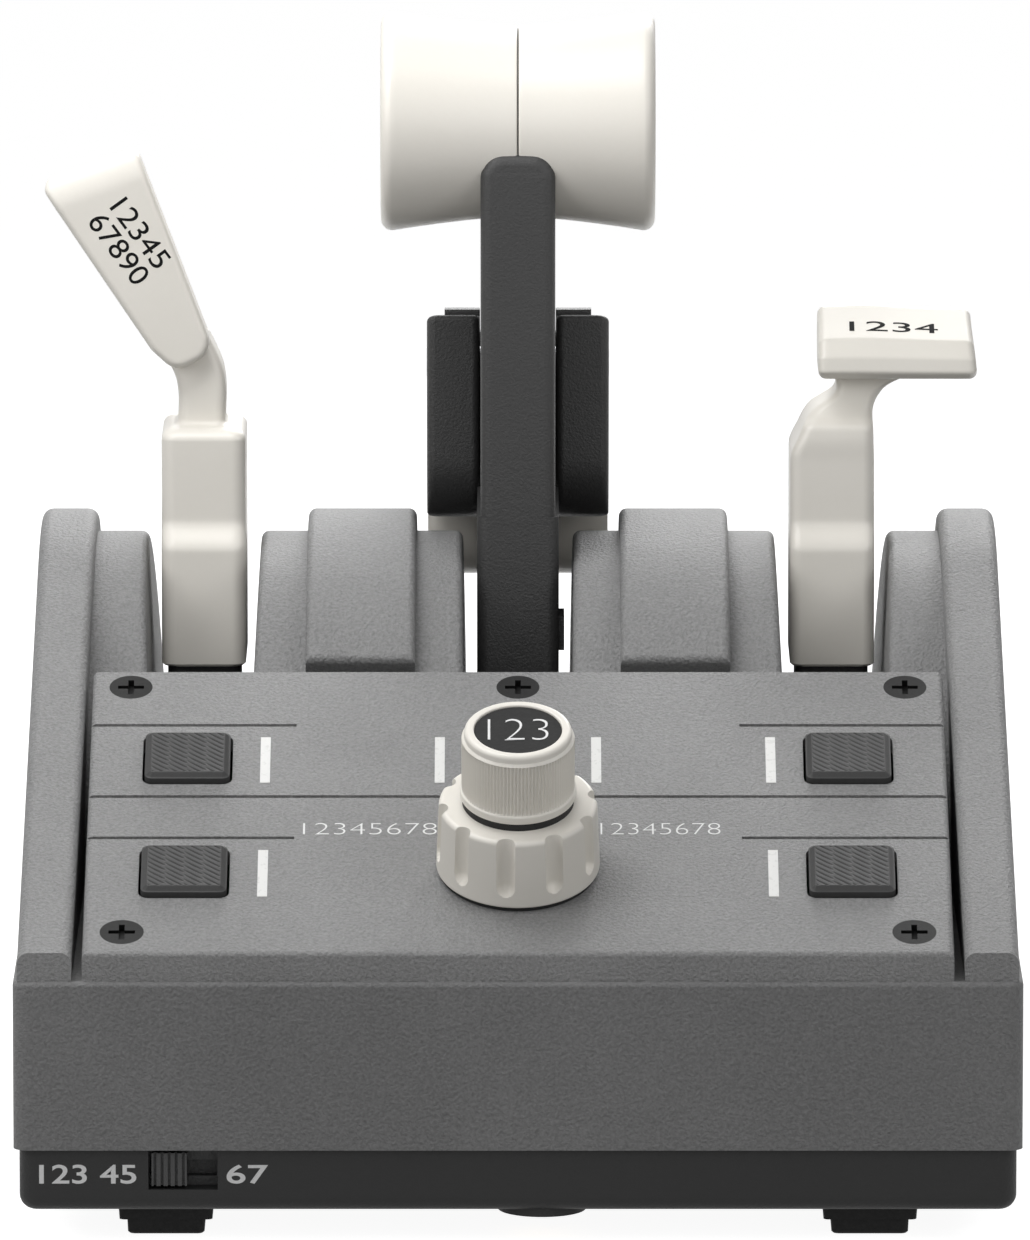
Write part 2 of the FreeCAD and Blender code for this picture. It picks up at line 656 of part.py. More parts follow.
def plate_blank():
    """Panel plate with its down-turned front lip."""
    t = PLATE / COS
    inner = LIP_Y + LIP_T
    top_z = slope_z(PANEL_TOP_Y)
    face = outline(yz(LIP_Y, DECK_Z), yz(LIP_Y, LIP_Z), yz(PANEL_TOP_Y, top_z), yz(PANEL_TOP_Y, top_z - t),
                   yz(inner, slope_z(inner) - t), yz(inner, DECK_Z))
    plate = across(face, -PANEL_HALF, PANEL_HALF)
    return rounded(plate, PANEL_EDGE_R,
                   lambda b: b.XLength > 10 and abs(b.YMax - LIP_Y) < 0.01 and b.ZMin > DECK_Z + 1
                   or b.XLength < 0.01 and b.ZMax > LIP_Z + 20 and b.YLength > 50 and
                   abs(b.ZMax - LIP_Z - PANEL_LEN * SIN) < 0.01)


def front_panel():
    """Sloped panel: screw holes, button openings, bar seats and engraved lines."""
    panel = plate_blank()
    hole = BUTTON / 2 + BUTTON_GAP
    for x, s in BUTTONS.values():
        opening = soft_block(x - hole, x + hole, s - hole, s + hole, -PLATE - 1, 1, BUTTON_R + BUTTON_GAP)
        panel = panel.cut(on_panel(opening))
    for x, s in PANEL_SCREWS:
        cone = Part.makeCone(CSK_R, THREAD_R, CSK_H, V(x, s, 0), V(0, 0, -1))
        panel = panel.cut(on_panel(cone)).cut(flat_rod(x, s, -PLATE - 1, 0.5, THREAD_R))
        panel = panel.cut(flat_rod(x, s, -0.01, 1, CSK_R))
    for x, s in BARS:
        half_w, half_len = BAR_W / 2, BAR_LEN / 2
        panel = panel.cut(flat_box(x - half_w, x + half_w, s - half_len, s + half_len, -PLATE - 1, 1))
    panel = panel.cut(flat_rod(0, KNOB_S, -PLATE - 1, 1, TUBE_R + GAP))
    edge = PANEL_HALF + 1
    panel = panel.cut(flat_box(-edge, edge, LINE_LONG - LINE_W / 2, LINE_LONG + LINE_W / 2, -LINE_DEPTH, 1))
    for s in LINES_SHORT:
        for side in (-1, 1):
            x0, x1 = sorted((side * LINE_END_X, side * edge))
            panel = panel.cut(flat_box(x0, x1, s - LINE_W / 2, s + LINE_W / 2, -LINE_DEPTH, 1))
    for x, s in BOARD_POSTS:
        post = flat_rod(x, s, -BOARD_N, -PLATE, MAIN_POST_R)
        panel = panel.fuse(post).fuse(flat_rod(x, s, -BOARD_N - BOARD_T - 0.6, -BOARD_N, PEG_R))
    return panel.removeSplitter()


def panel_screws():
    """Five black countersunk screws."""
    screws = []
    for x, s in PANEL_SCREWS:
        screw = countersunk(PANEL_SCREW_LEN)
        screw.translate(V(x, s, 0))
        screws.append(on_panel(screw))
    return group(screws)


def indicator_bars():
    """White light guides beside the buttons and the selector, flush with the panel."""
    bars = []
    for x, s in BARS:
        bar = box(x - BAR_W / 2, x + BAR_W / 2, s - BAR_LEN / 2, s + BAR_LEN / 2, -PLATE, 0.05)
        half = BAR_W / 2 + BAR_FOOT
        flange = box(x - half, x + half, s - BAR_LEN / 2, s + BAR_LEN / 2, -PLATE - BAR_FOOT, -PLATE)
        bars.append(on_panel(joined(bar, flange)))
    return group(bars)


TACT_TOP = -5.9
TACT_HALF = 3.0
STEM_TIP = -6.5
PLUNGER_R = 1.75


def push_button(x, s):
    """Square key: cap with a rounded rim, a retaining flange and a stem into its switch."""
    half = BUTTON / 2
    cap = soft_block(-half, half, -half, half, -PLATE, BUTTON_PROUD, BUTTON_R)
    cap = cap.makeChamfer(0.7, [e for e in cap.Edges if e.BoundBox.ZMin > BUTTON_PROUD - 1e-3])
    face = half - BUTTON_RIM
    cap = cap.cut(box(-face, face, -face, face, BUTTON_PROUD - BUTTON_FACE, BUTTON_PROUD + 1))
    wide = half + BUTTON_FLANGE
    flange = box(-wide, wide, -wide, wide, -PLATE - 1.1, -PLATE - FIT)
    cap = cap.fuse(box(-half, half, -half, half, -PLATE - 0.2, -PLATE)).fuse(flange)
    key = joined(cap, rod_z(0, 0, STEM_TIP, -PLATE - 1.0, PLUNGER_R))
    key.translate(V(x, s, 0))
    return on_panel(key)


def tact_switches():
    """Switch under each button, with a well for the button's stem."""
    bodies = []
    for x, s in BUTTONS.values():
        body = box(x - TACT_HALF, x + TACT_HALF, s - TACT_HALF, s + TACT_HALF, -BOARD_N, TACT_TOP)
        bodies.append(on_panel(body.cut(rod_z(x, s, TACT_TOP - 2.6, TACT_TOP + 1, PLUNGER_R + FIT))))
    return group(bodies)


def panel_board():
    """Circuit board on the panel's posts, carrying the switches and the encoder."""
    board = box(-BOARD_X, BOARD_X, BOARD_S0, BOARD_S1, -BOARD_N - BOARD_T, -BOARD_N)
    for x, s in BOARD_POSTS:
        board = board.cut(rod_z(x, s, -BOARD_N - BOARD_T - 1, -BOARD_N + 1, PEG_R))
    return on_panel(board)


# ---------------------------------------------------------------- rotary selector
DIAL_N0 = DIAL_GAP
DIAL_N1 = DIAL_N0 + DIAL_H
KNOB_N0 = DIAL_N1 + KNOB_GAP
KNOB_N1 = KNOB_N0 + KNOB_H
ENC_HALF = 6.5
ENC_TOP = -4.4
TUBE_FOOT = -7.0
SHAFT_FOOT = -7.6
PLUNGER_TOP = SHAFT_FOOT - FIT


def selector_at(shape):
    """Place a piece drawn about the selector's own axis."""
    moved = shape.copy()
    moved.translate(V(0, KNOB_S, 0))
    return on_panel(moved)


def selector_dial():
    """Outer dial with ten flutes, and the tube that carries it down to the encoder."""
    dial = Part.makeCone(DIAL_R, DIAL_TOP_R, DIAL_H, V(0, 0, DIAL_N0))
    dial = dial.makeChamfer(0.9, [e for e in dial.Edges if e.BoundBox.ZMin > DIAL_N1 - 1e-3])
    flute_foot = DIAL_N0 + DIAL_H * FLUTE_STOP_SHARE
    for i in range(FLUTES):
        a = math.radians(90 + 8.9 + 360.0 / FLUTES * i)
        r = DIAL_R + FLUTE_R - FLUTE_DEPTH
        x, y = r * math.cos(a), r * math.sin(a)
        cutter = rod_z(x, y, flute_foot, DIAL_N1 + 1, FLUTE_R)
        dial = dial.cut(cutter.fuse(Part.makeSphere(FLUTE_R, V(x, y, flute_foot))))
    dial = dial.fuse(rod_z(0, 0, TUBE_FOOT, DIAL_N0 + 1, TUBE_R))
    return selector_at(dial.cut(rod_z(0, 0, TUBE_FOOT - 1, DIAL_N1 + 1, SHAFT_R + RUN)).removeSplitter())


def select_knob():
    """Inner push-and-turn knob: flange, ribbed grip and a raised rim around the disc."""
    flange = rod_z(0, 0, KNOB_N0, KNOB_N0 + 1.4, KNOB_FLANGE_R)
    grip = rod_z(0, 0, KNOB_N0 + 1.4, KNOB_N1 - 2.0, KNOB_R)
    rim = rod_z(0, 0, KNOB_N1 - 2.0, KNOB_N1, KNOB_R - 0.4)
    knob = joined(flange, grip, rim)
    knob = knob.makeFillet(0.9, [e for e in knob.Edges if e.BoundBox.ZMin > KNOB_N1 - 1e-3])
    knob = knob.cut(rod_z(0, 0, KNOB_N1 - DISC_SUNK - DISC_T, KNOB_N1 + 1, DISC_R))
    return selector_at(knob.cut(rod_z(0, 0, KNOB_N0 - 1, KNOB_N0 + 8, SHAFT_R)))


def knob_disc():
    """Black disc let into the knob's face."""
    return selector_at(rod_z(0, 0, KNOB_N1 - DISC_SUNK - DISC_T, KNOB_N1 - DISC_SUNK, DISC_R))


def encoder_shaft():
    """Shaft from the knob down through the dial's tube."""
    return selector_at(rod_z(0, 0, SHAFT_FOOT, KNOB_N0 + 8, SHAFT_R))


def encoder_body():
    """Dual encoder on the board: it guides the dial's tube and the plunger under the shaft."""
    body = box(-ENC_HALF, ENC_HALF, -ENC_HALF, ENC_HALF, -BOARD_N, ENC_TOP)
    body = body.cut(rod_z(0, 0, TUBE_FOOT - GAP, 0, TUBE_R + RUN))
    return selector_at(body.cut(rod_z(0, 0, -BOARD_N + 0.4, 0, SHAFT_R + RUN)))


def encoder_plunger():
    """Button inside the encoder that the shaft presses."""
    return selector_at(rod_z(0, 0, PLUNGER_TOP - 1.0, PLUNGER_TOP, SHAFT_R - GAP))


# ---------------------------------------------------------------- levers, drawn about the pivot
def lever_hub(pocket_depth):
    """Drum on the axle, with a pocket for the arm's tongue and a magnet seat in its side."""
    hub = rod_x(-HUB_W / 2, HUB_W / 2, 0, 0, HUB_R)
    hub = hub.cut(box(-HUB_W, HUB_W, -HUB_R - 1, HUB_R + 1, -HUB_R - 1, -HUB_FLAT))
    hub = hub.cut(rod_x(-HUB_W, HUB_W, 0, 0, AXLE_R + RUN))
    half = pocket_depth / 2
    hub = hub.cut(box(-TONGUE_W / 2, TONGUE_W / 2, -half, half, TONGUE_ROOT, HUB_R + 1))
    return hub.cut(magnet_blank())


MAGNET_R = 2.5
MAGNET_T = 2.5
MAGNET_Z = -9.0


def magnet_blank():
    """Disc magnet in the right-hand face of the hub."""
    return rod_x(HUB_W / 2 - MAGNET_T, HUB_W / 2, 0, MAGNET_Z, MAGNET_R)


def detented(hub, angles):
    """Notches in the hub's back rim for the detent spring."""
    for angle in angles:
        a = math.radians(angle)
        hub = hub.cut(rod_x(-HUB_W, HUB_W, HUB_R * math.cos(a), HUB_R * math.sin(a), 1.0))
    return hub


def stem_top(grow):
    """Front outline of the stem's upper blade with its round-shouldered top, grown all round."""
    w = STEM_W / 2 + grow
    r = STEM_SHOULDER_R + grow
    c = r * (1 - math.sqrt(0.5))
    top = STEM_TOP_Z + grow
    return outline(xz(-w, STEM_STEP_Z), xz(-w, top - r), (xz(-w + c, top - c), xz(-w + r, top)),
                   xz(w - r, top), (xz(w - c, top - c), xz(w, top - r)), xz(w, STEM_STEP_Z))


def throttle_stem():
    """Black blade from the hub to the grip, with the lug that carries the reverser."""
    half = STEM_DEPTH / 2
    root = HUB_R + 1.0
    low = soft_block(-STEM_LOW_W / 2, STEM_LOW_W / 2, -half, half, root, STEM_STEP_Z + 6, STEM_R)
    high = plate_y(stem_top(0.0), -half, half)
    high = rounded(high, STEM_R, lambda b: b.YLength < 0.01 and b.ZMax > STEM_STEP_Z + 1)
    tongue = box(-TONGUE_W / 2, TONGUE_W / 2, -half + 2, half - 2, TONGUE_ROOT, root)
    web = box(-4, 4, -CORE_R, CORE_R, STEM_TOP_Z - 8, GRIP_Z)
    core = rod_x(-GRIP_LEN / 2 + 4, GRIP_LEN / 2 - 4, 0, GRIP_Z, CORE_R)
    lug_face = outline(yz(half - 1, REV_PIN_Z + LUG_ROOT), yz(half - 1, REV_PIN_Z - LUG_ROOT),
                       yz(REV_PIN_Y, REV_PIN_Z - LUG_R),
                       (yz(REV_PIN_Y + LUG_R, REV_PIN_Z), yz(REV_PIN_Y, REV_PIN_Z + LUG_R)))
    lug = across(lug_face, -LUG_HALF_W, LUG_HALF_W)
    side = STEM_LOW_W / 2
    stop = box(side - 0.5, side + STOP_PROUD, -half + 2.5, -half + 10, STOP_Z0, STOP_Z1)
    stem = joined(low, high, tongue, web, core, lug, stop)
    return stem.cut(rod_x(-LUG_HALF_W - 1, LUG_HALF_W + 1, REV_PIN_Y, REV_PIN_Z, REV_PIN_R + RUN))


def grip_half():
    """Right half of the waisted throttle grip; mirrored for the left."""
    x0 = GRIP_SEAM / 2
    x1 = GRIP_LEN / 2
    e = GRIP_EDGE_R
    c = math.sqrt(0.5)
    sag = (GRIP_END_R - GRIP_WAIST_R) / 4
    start = V(x0, 0, 0)
    face = outline(start, V(x0, 0, GRIP_WAIST_R),
                   (V((x0 + x1) / 2, 0, GRIP_WAIST_R + sag), V(x1 - e, 0, GRIP_END_R)),
                   (V(x1 - e + e * c, 0, GRIP_END_R - e + e * c), V(x1, 0, GRIP_END_R - e)), V(x1, 0, 0))
    body = face.revolve(V(0, 0, 0), V(1, 0, 0), 360)
    body.translate(V(0, 0, GRIP_Z))
    body = body.cut(plate_y(stem_top(FIT), -GRIP_END_R - 1, GRIP_END_R + 1))
    body = body.cut(box(-1, 4 + FIT, -CORE_R - FIT, CORE_R + FIT, STEM_TOP_Z - 9, GRIP_Z))
    return body.cut(rod_x(-1, GRIP_LEN / 2 - 4 + FIT, 0, GRIP_Z, CORE_R + FIT / 2))


def lever_arm():
    """Black arm of a side lever: tongue, collar under the sleeve, and the bar inside it."""
    bar_half = ARM_TONGUE_DEPTH / 2
    bar = box(-TONGUE_W / 2, TONGUE_W / 2, -bar_half, bar_half, TONGUE_ROOT, SLEEVE_BEND_Z)
    collar = soft_block(-ARM_W / 2, ARM_W / 2, -ARM_DEPTH / 2, ARM_DEPTH / 2, HUB_R + 1, SLEEVE_Z0, 1.5)
    return joined(bar, collar)


def sleeve_blank():
    """Ivory sleeve over the arm, stepping back at the bend."""
    face = outline(yz(-SLEEVE_FRONT, SLEEVE_Z0), yz(-SLEEVE_FRONT, SLEEVE_BEND_Z),
                   yz(-SLEEVE_FRONT + SLEEVE_STEP, SLEEVE_BEND_Z + SLEEVE_BEND_H),
                   yz(-SLEEVE_FRONT + SLEEVE_STEP, SLEEVE_TOP_Z), yz(SLEEVE_CREST, SLEEVE_TOP_Z),
                   yz(SLEEVE_BACK, SLEEVE_TOP_Z - SLEEVE_FALL), yz(SLEEVE_BACK, SLEEVE_Z0))
    sleeve = across(face, -SLEEVE_W / 2, SLEEVE_W / 2)
    return rounded(sleeve, SLEEVE_R, lambda b: b.ZMin > SLEEVE_Z0 - 1e-3 and
                   (b.XLength < 0.01 and b.ZMax > SLEEVE_Z0 + 1))


def bar_socket():
    """Room for the arm's bar inside a sleeve."""
    half = ARM_TONGUE_DEPTH / 2 + FIT
    return box(-TONGUE_W / 2 - FIT, TONGUE_W / 2 + FIT, -half, half, SLEEVE_Z0 - 1, SLEEVE_BEND_Z)


def plate_y(face, y0, y1):
    """Prism of a face drawn at Y = 0, from y0 to y1."""
    moved = face.copy()
    moved.translate(V(0, y0, 0))
    return moved.extrude(V(0, y1 - y0, 0))


def xz(x, z):
    """Point in the front view, about the lever's own centre."""
    return V(x, 0, z)


def speed_brake_sleeve():
    """Sleeve of the speed-brake lever with its neck leaning left."""
    left_foot, left_mid, left_bend, left_top = [xz(*point) for point in NECK_LEFT]
    right_top, right_bend, right_mid, right_foot = [xz(*point) for point in NECK_RIGHT]
    face = outline(left_foot, (left_mid, left_bend), left_top, right_top, right_bend, (right_mid, right_foot))
    neck = plate_y(face, -NECK_FRONT, NECK_BACK)
    neck = neck.makeFillet(NECK_EDGE_R, [e for e in neck.Edges if e.BoundBox.YLength < 0.01 and
                                 e.BoundBox.ZMin > SLEEVE_TOP_Z - 3 and e.BoundBox.ZLength > 2])
    return joined(sleeve_blank(), neck).cut(bar_socket())


def speed_brake_paddle():
    """Flat flared handle of the speed-brake lever."""
    face = outline(xz(*PADDLE_TOP_OUTER), xz(*PADDLE_TOP_INNER), xz(*PADDLE_ROOT_INNER),
                   (xz(*PADDLE_BEND_INNER), xz(*PADDLE_FOOT)),
                   (xz(*PADDLE_BEND_OUTER), xz(*PADDLE_ROOT_OUTER)))
    paddle = plate_y(face, -PADDLE_FRONT, PADDLE_T - PADDLE_FRONT)
    paddle = paddle.makeFillet(PADDLE_R, paddle.Edges)
    return paddle.cut(speed_brake_sleeve())


def flap_sleeve():
    """Sleeve of the flap lever: its left shoulder sweeps up into a neck that leans right."""
    half = SLEEVE_W / 2
    left_mid, left_end, left_top = [xz(*point) for point in FLAP_SWEEP_LEFT]
    right_top, right_mid, right_end = [xz(*point) for point in FLAP_SWEEP_RIGHT]
    front = outline(xz(-half, SLEEVE_Z0), xz(-half, SLEEVE_TOP_Z - 7), (left_mid, left_end), left_top,
                    right_top, (right_mid, right_end), xz(half - 0.3, SLEEVE_TOP_Z - 0.2),
                    xz(half, SLEEVE_TOP_Z - 1), xz(half, SLEEVE_Z0))
    side = outline(yz(-SLEEVE_FRONT - 1, SLEEVE_Z0 - 1), yz(-SLEEVE_FRONT - 1, SLEEVE_TOP_Z - 3),
                   yz(-NECK_FRONT - 2, SLEEVE_TOP_Z + 2), yz(-NECK_FRONT, 87.5), yz(NECK_BACK, 87.5),
                   yz(NECK_BACK + 2, SLEEVE_TOP_Z), yz(SLEEVE_BACK + 1, SLEEVE_TOP_Z - 6),
                   yz(SLEEVE_BACK + 1, SLEEVE_Z0 - 1))
    tall = sleeve_blank().common(box(-10, 10, -20, 20, 0, 70))
    upper = soft_block(-half, 14.0, -SLEEVE_FRONT + SLEEVE_STEP, SLEEVE_BACK, 69.0, 88.0, SLEEVE_R)
    shape = joined(tall, upper).common(plate_y(front, -20, 20)).common(across(side, -20, 20))
    return shape.removeSplitter().cut(bar_socket())


def flap_handle():
    """Wing-shaped cross handle of the flap lever."""
    face = outline(*[yz(*point) for point in HANDLE_SECTION])
    handle = across(face, HANDLE_LEFT, HANDLE_RIGHT)
    handle = handle.makeFillet(HANDLE_R, handle.Edges)
    return handle.cut(flap_sleeve())


def reverser_block():
    """Black block behind the stem, on the pin through the stem's lug."""
    slab = across(outline(yz(REV_FRONT, REV_Z0 + 4), yz(REV_FRONT, REV_Z1), yz(REV_BACK - 6, REV_Z1 - 6),
                          yz(REV_BACK, REV_Z1 - 12), yz(REV_BACK + 6, REV_Z0 + 8), yz(REV_BACK, REV_Z0),
                          yz(REV_FRONT + 6, REV_Z0)), -REV_HALF_W, REV_HALF_W)
    slab = slab.makeFillet(REV_ROUND, [e for e in slab.Edges if e.BoundBox.XLength < 0.01])
    rib_half = REV_HALF_W - 3
    rib = box(-rib_half, rib_half, REV_FRONT + 1.5, REV_FRONT + 4, REV_Z1 - 3, REV_Z1 + REV_RIB_H)
    inner = STEM_LOW_W / 2 + SIDE_GAP
    slot = box(-inner, inner, REV_FRONT - 1, REV_PIN_Y + LUG_R + 1.2, REV_Z0 - 1, REV_Z1 + 2)
    block = joined(slab, rib).cut(slot)
    return block.cut(rod_x(-REV_HALF_W - 1, REV_HALF_W + 1, REV_PIN_Y, REV_PIN_Z, REV_PIN_R))


def reverser_grip():
    """Ivory finger grip that hangs from the back of the block."""
    y, z, r = REV_GRIP_Y, REV_GRIP_Z, REV_GRIP_R
    face = outline(yz(y - r, z), (yz(y, z - r), yz(y + r, z)), yz(y + r - 3.0, REV_GRIP_TOP - 4.0),
                   yz(y, REV_GRIP_TOP), yz(y - r, REV_GRIP_TOP))
    half = REV_HALF_W - FIT
    return across(face, -half, half).cut(reverser_block())


def reverser_pin():
    """Steel pin through the block and the stem's lug."""
    return rod_x(-REV_HALF_W, REV_HALF_W, REV_PIN_Y, REV_PIN_Z, REV_PIN_R)


# ---------------------------------------------------------------- axle and brackets
def yoke(x):
    """Steel bracket with an ear on each side of a hub, standing on the tray floor."""
    inner = HUB_W / 2 + EAR_GAP
    ear = outline(yz(-EAR_FOOT / 2, 0), yz(-EAR_FOOT / 2, 6), yz(-EAR_R, PIVOT_H - FLOOR_Z),
                  (yz(0, PIVOT_H - FLOOR_Z + EAR_R), yz(EAR_R, PIVOT_H - FLOOR_Z)), yz(EAR_FOOT / 2, 6),
                  yz(EAR_FOOT / 2, 0))
    foot = box(-inner - EAR_T, inner + EAR_T, -EAR_FOOT / 2, EAR_FOOT / 2, 0, EAR_T)
    body = joined(across(ear, -inner - EAR_T, -inner), across(ear, inner, inner + EAR_T), foot)
    body = body.cut(rod_x(-inner - 5, inner + 5, 0, PIVOT_H - FLOOR_Z, AXLE_R))
    body = body.cut(sensor_chip(PIVOT_H - FLOOR_Z, FIT))
    body.translate(V(x, PIVOT_Y, FLOOR_Z))
    return body


def sensor_chip(axis_z, grow):
    """Sensor package that looks at the magnet through a window in the ear."""
    inner = HUB_W / 2 + EAR_GAP
    z = axis_z + MAGNET_Z
    return box(inner - 0.6, inner + EAR_T, -2 - grow, 2 + grow, z - 1.6 - grow, z + 1.6 + grow)


def sensor_board(x):
    """Small board on the outside of the ear, with its position sensor."""
    outer = HUB_W / 2 + EAR_GAP + EAR_T
    board = box(outer, outer + 1.2, -8, 8, MAGNET_Z - 8, MAGNET_Z + 5)
    return on_lever(joined(board, sensor_chip(0, 0)), x)


def washers():
    """Friction washers between each hub and its ears."""
    gap = HUB_W / 2
    rings = []
    for x in (-LEVER_X, 0.0, LEVER_X):
        for side in (-1, 1):
            x0, x1 = sorted((side * (gap + 0.15), side * (gap + EAR_GAP)))
            ring = rod_x(x0, x1, 0, 0, 5.5).cut(rod_x(x0 - 1, x1 + 1, 0, 0, AXLE_R))
            rings.append(on_lever(ring, x))
    return group(rings)


AXLE_HALF = LEVER_X + HUB_W / 2 + EAR_GAP + EAR_T + 4.0


def axle():
    """Steel axle through all three hubs, grooved for its clips."""
    bar = rod_x(-AXLE_HALF, AXLE_HALF, 0, 0, AXLE_R)
    for side in (-1, 1):
        x0, x1 = sorted((side * clip_x(), side * (clip_x() + CLIP_T)))
        groove = rod_x(x0, x1, 0, 0, AXLE_R + 1)
        bar = bar.cut(groove.cut(rod_x(x0 - 1, x1 + 1, 0, 0, AXLE_R - CLIP_GROOVE)))
    return on_lever(bar, 0)


def clip_x():
    """Inner face of the retaining clips."""
    return LEVER_X + HUB_W / 2 + EAR_GAP + EAR_T + 1.2


def axle_clips():
    """Retaining clips at both ends of the axle."""
    clips = []
    for side in (-1, 1):
        x0, x1 = sorted((side * clip_x(), side * (clip_x() + CLIP_T)))
        bore = rod_x(x0 - 1, x1 + 1, 0, 0, AXLE_R - CLIP_GROOVE)
        clips.append(on_lever(rod_x(x0, x1, 0, 0, CLIP_R).cut(bore), 0))
    return group(clips)


def detent_springs():
    """Leaf springs behind the side hubs, each with a round nose towards the rim."""
    leaves = []
    for x in (-LEVER_X, LEVER_X):
        y = HUB_R + 1.3
        leaf = box(-4, 4, y, y + 0.6, FLOOR_Z - PIVOT_H, 4)
        foot = box(-4, 4, y, y + 8, FLOOR_Z - PIVOT_H, FLOOR_Z - PIVOT_H + 0.6)
        nose = rod_x(-4, 4, y, 0, 0.9)
        leaves.append(on_lever(joined(leaf, foot, nose), x))
    return group(leaves)


# ---------------------------------------------------------------- electronics and switch
def main_board():
    """Controller board at the back of the tray."""
    board = box(-MAIN_HALF, MAIN_HALF, BACK - 30, BACK - TRAY_INSET - WALL - 1.6, MAIN_Z, MAIN_Z + BOARD_T)
    for x, y in POSTS_MAIN:
        board = board.cut(rod_z(x, y, MAIN_Z - 1, MAIN_Z + BOARD_T + 1, PEG_R))
    return board


def usb_jack():
    """Socket for the cable, flush in the back of the case."""
    z = MAIN_Z + BOARD_T
    y1 = BACK - 1.2
    shell = rounded(box(-4.5, 4.5, y1 - 7.5, y1, z, z + 3.3), 1.4, lambda b: b.YLength > 7)
    mouth = rounded(box(-4.2, 4.2, y1 - 6.5, y1 + 1, z + 0.3, z + 3.0), 1.2, lambda b: b.YLength > 7)
    tongue = box(-3.3, 3.3, y1 - 7, y1 - 0.8, z + 1.3, z + 2.0)
    return joined(shell.cut(mouth), tongue)


def mode_switch():
    """Slide switch on the tray floor behind the front window."""
    y0 = FRONT + TRAY_INSET + WALL + 1.8
    body = box(MODE_X0 - 1, MODE_X1 + 1, y0, y0 + 5, FLOOR_Z, TRAY_Z1 - 1.0)
    guide = box(MODE_X0 + 0.2, MODE_X1 - 0.2, y0 - 1, y0 + 2.0, MODE_Z0 + 1.4, MODE_Z0 + 4.0)
    return body.cut(guide)


def mode_slider():
    """Ribbed thumb piece of the slide switch, at its left stop."""
    x0 = MODE_X0 + 0.5
    y_face = FRONT + TRAY_INSET + 0.4
    y0 = FRONT + TRAY_INSET + WALL + 1.8
    z0 = MODE_Z0 + 0.5
    z1 = TRAY_Z1 - 0.7
    cap = box(x0, x0 + MODE_SLIDER_W, y_face, y0 - 0.4, z0, z1)
    pitch = MODE_SLIDER_W / 5
    for i in range(5):
        x = x0 + pitch * (i + 0.5)
        cap = cap.cut(box(x - pitch * 0.2, x + pitch * 0.2, y_face - 1, y_face + 0.8, z0 - 1, z1 + 1))
    tail = box(x0 + 1.2, x0 + MODE_SLIDER_W - 1.2, y0 - 0.5, y0 + 1.7, MODE_Z0 + 1.7, MODE_Z0 + 3.7)
    return joined(cap, tail)


# ---------------------------------------------------------------- the assembly
nodes["base_tray"] = base_tray()
nodes["ballast_plate"] = ballast_plate()
nodes["rubber_feet"] = rubber_feet()
nodes["threaded_inserts"] = threaded_inserts()
nodes["base_screws"] = base_screws()
nodes["lower_housing"] = lower_housing()
nodes["side_cover_right"] = side_cover()
nodes["side_cover_left"] = mirrored(nodes["side_cover_right"])
nodes["divider_right"] = divider()
nodes["divider_left"] = mirrored(nodes["divider_right"])
nodes["divider_cap_right"] = divider_cap()
nodes["divider_cap_left"] = mirrored(nodes["divider_cap_right"])
nodes["deck_screws"] = group(pan_screw(x, y, DECK_Z - DECK, 10.0) for x, y in deck_screw_places())
nodes["panel_frame"] = panel_frame()
nodes["front_panel"] = front_panel()
nodes["panel_screws"] = panel_screws()
nodes["indicator_bars"] = indicator_bars()
for name, (x, s) in BUTTONS.items():
    nodes[name] = push_button(x, s)
nodes["tact_switches"] = tact_switches()
nodes["panel_board"] = panel_board()
nodes["encoder_body"] = encoder_body()
nodes["encoder_plunger"] = encoder_plunger()
nodes["encoder_shaft"] = encoder_shaft()
nodes["selector_dial"] = selector_dial()
nodes["select_knob"] = select_knob()
nodes["knob_disc"] = knob_disc()

nodes["throttle_hub"] = on_lever(lever_hub(STEM_DEPTH - 4), 0)
nodes["throttle_magnet"] = on_lever(magnet_blank(), 0)
nodes["throttle_stem"] = on_lever(throttle_stem(), 0)
nodes["throttle_grip_right"] = on_lever(grip_half(), 0)
nodes["throttle_grip_left"] = mirrored(nodes["throttle_grip_right"])
nodes["reverser_block"] = on_lever(reverser_block(), 0)
nodes["reverser_grip"] = on_lever(reverser_grip(), 0)
nodes["reverser_pin"] = on_lever(reverser_pin(), 0)

SIDE_DETENTS = {"speed_brake": (-28, 0, 28), "flap": (-28, -21, -14, -7, 0, 7, 14, 21, 28)}
for name, x in (("speed_brake", -LEVER_X), ("flap", LEVER_X)):
    nodes[name + "_hub"] = on_lever(detented(lever_hub(ARM_TONGUE_DEPTH), SIDE_DETENTS[name]), x)
    nodes[name + "_magnet"] = on_lever(magnet_blank(), x)
    nodes[name + "_arm"] = on_lever(lever_arm(), x)
nodes["speed_brake_sleeve"] = on_lever(speed_brake_sleeve(), -LEVER_X)
nodes["speed_brake_paddle"] = on_lever(speed_brake_paddle(), -LEVER_X)
nodes["flap_sleeve"] = on_lever(flap_sleeve(), LEVER_X)
nodes["flap_handle"] = on_lever(flap_handle(), LEVER_X)

nodes["axle"] = axle()
nodes["axle_clips"] = axle_clips()
for name, x in (("speed_brake", -LEVER_X), ("throttle", 0.0), ("flap", LEVER_X)):
    nodes[name + "_yoke"] = yoke(x)
nodes["sensor_boards"] = group(sensor_board(x) for x in (-LEVER_X, 0.0, LEVER_X))
nodes["friction_washers"] = washers()
nodes["detent_springs"] = detent_springs()
nodes["main_board"] = main_board()
nodes["usb_jack"] = usb_jack()
nodes["mode_switch"] = mode_switch()
nodes["mode_slider"] = mode_slider()

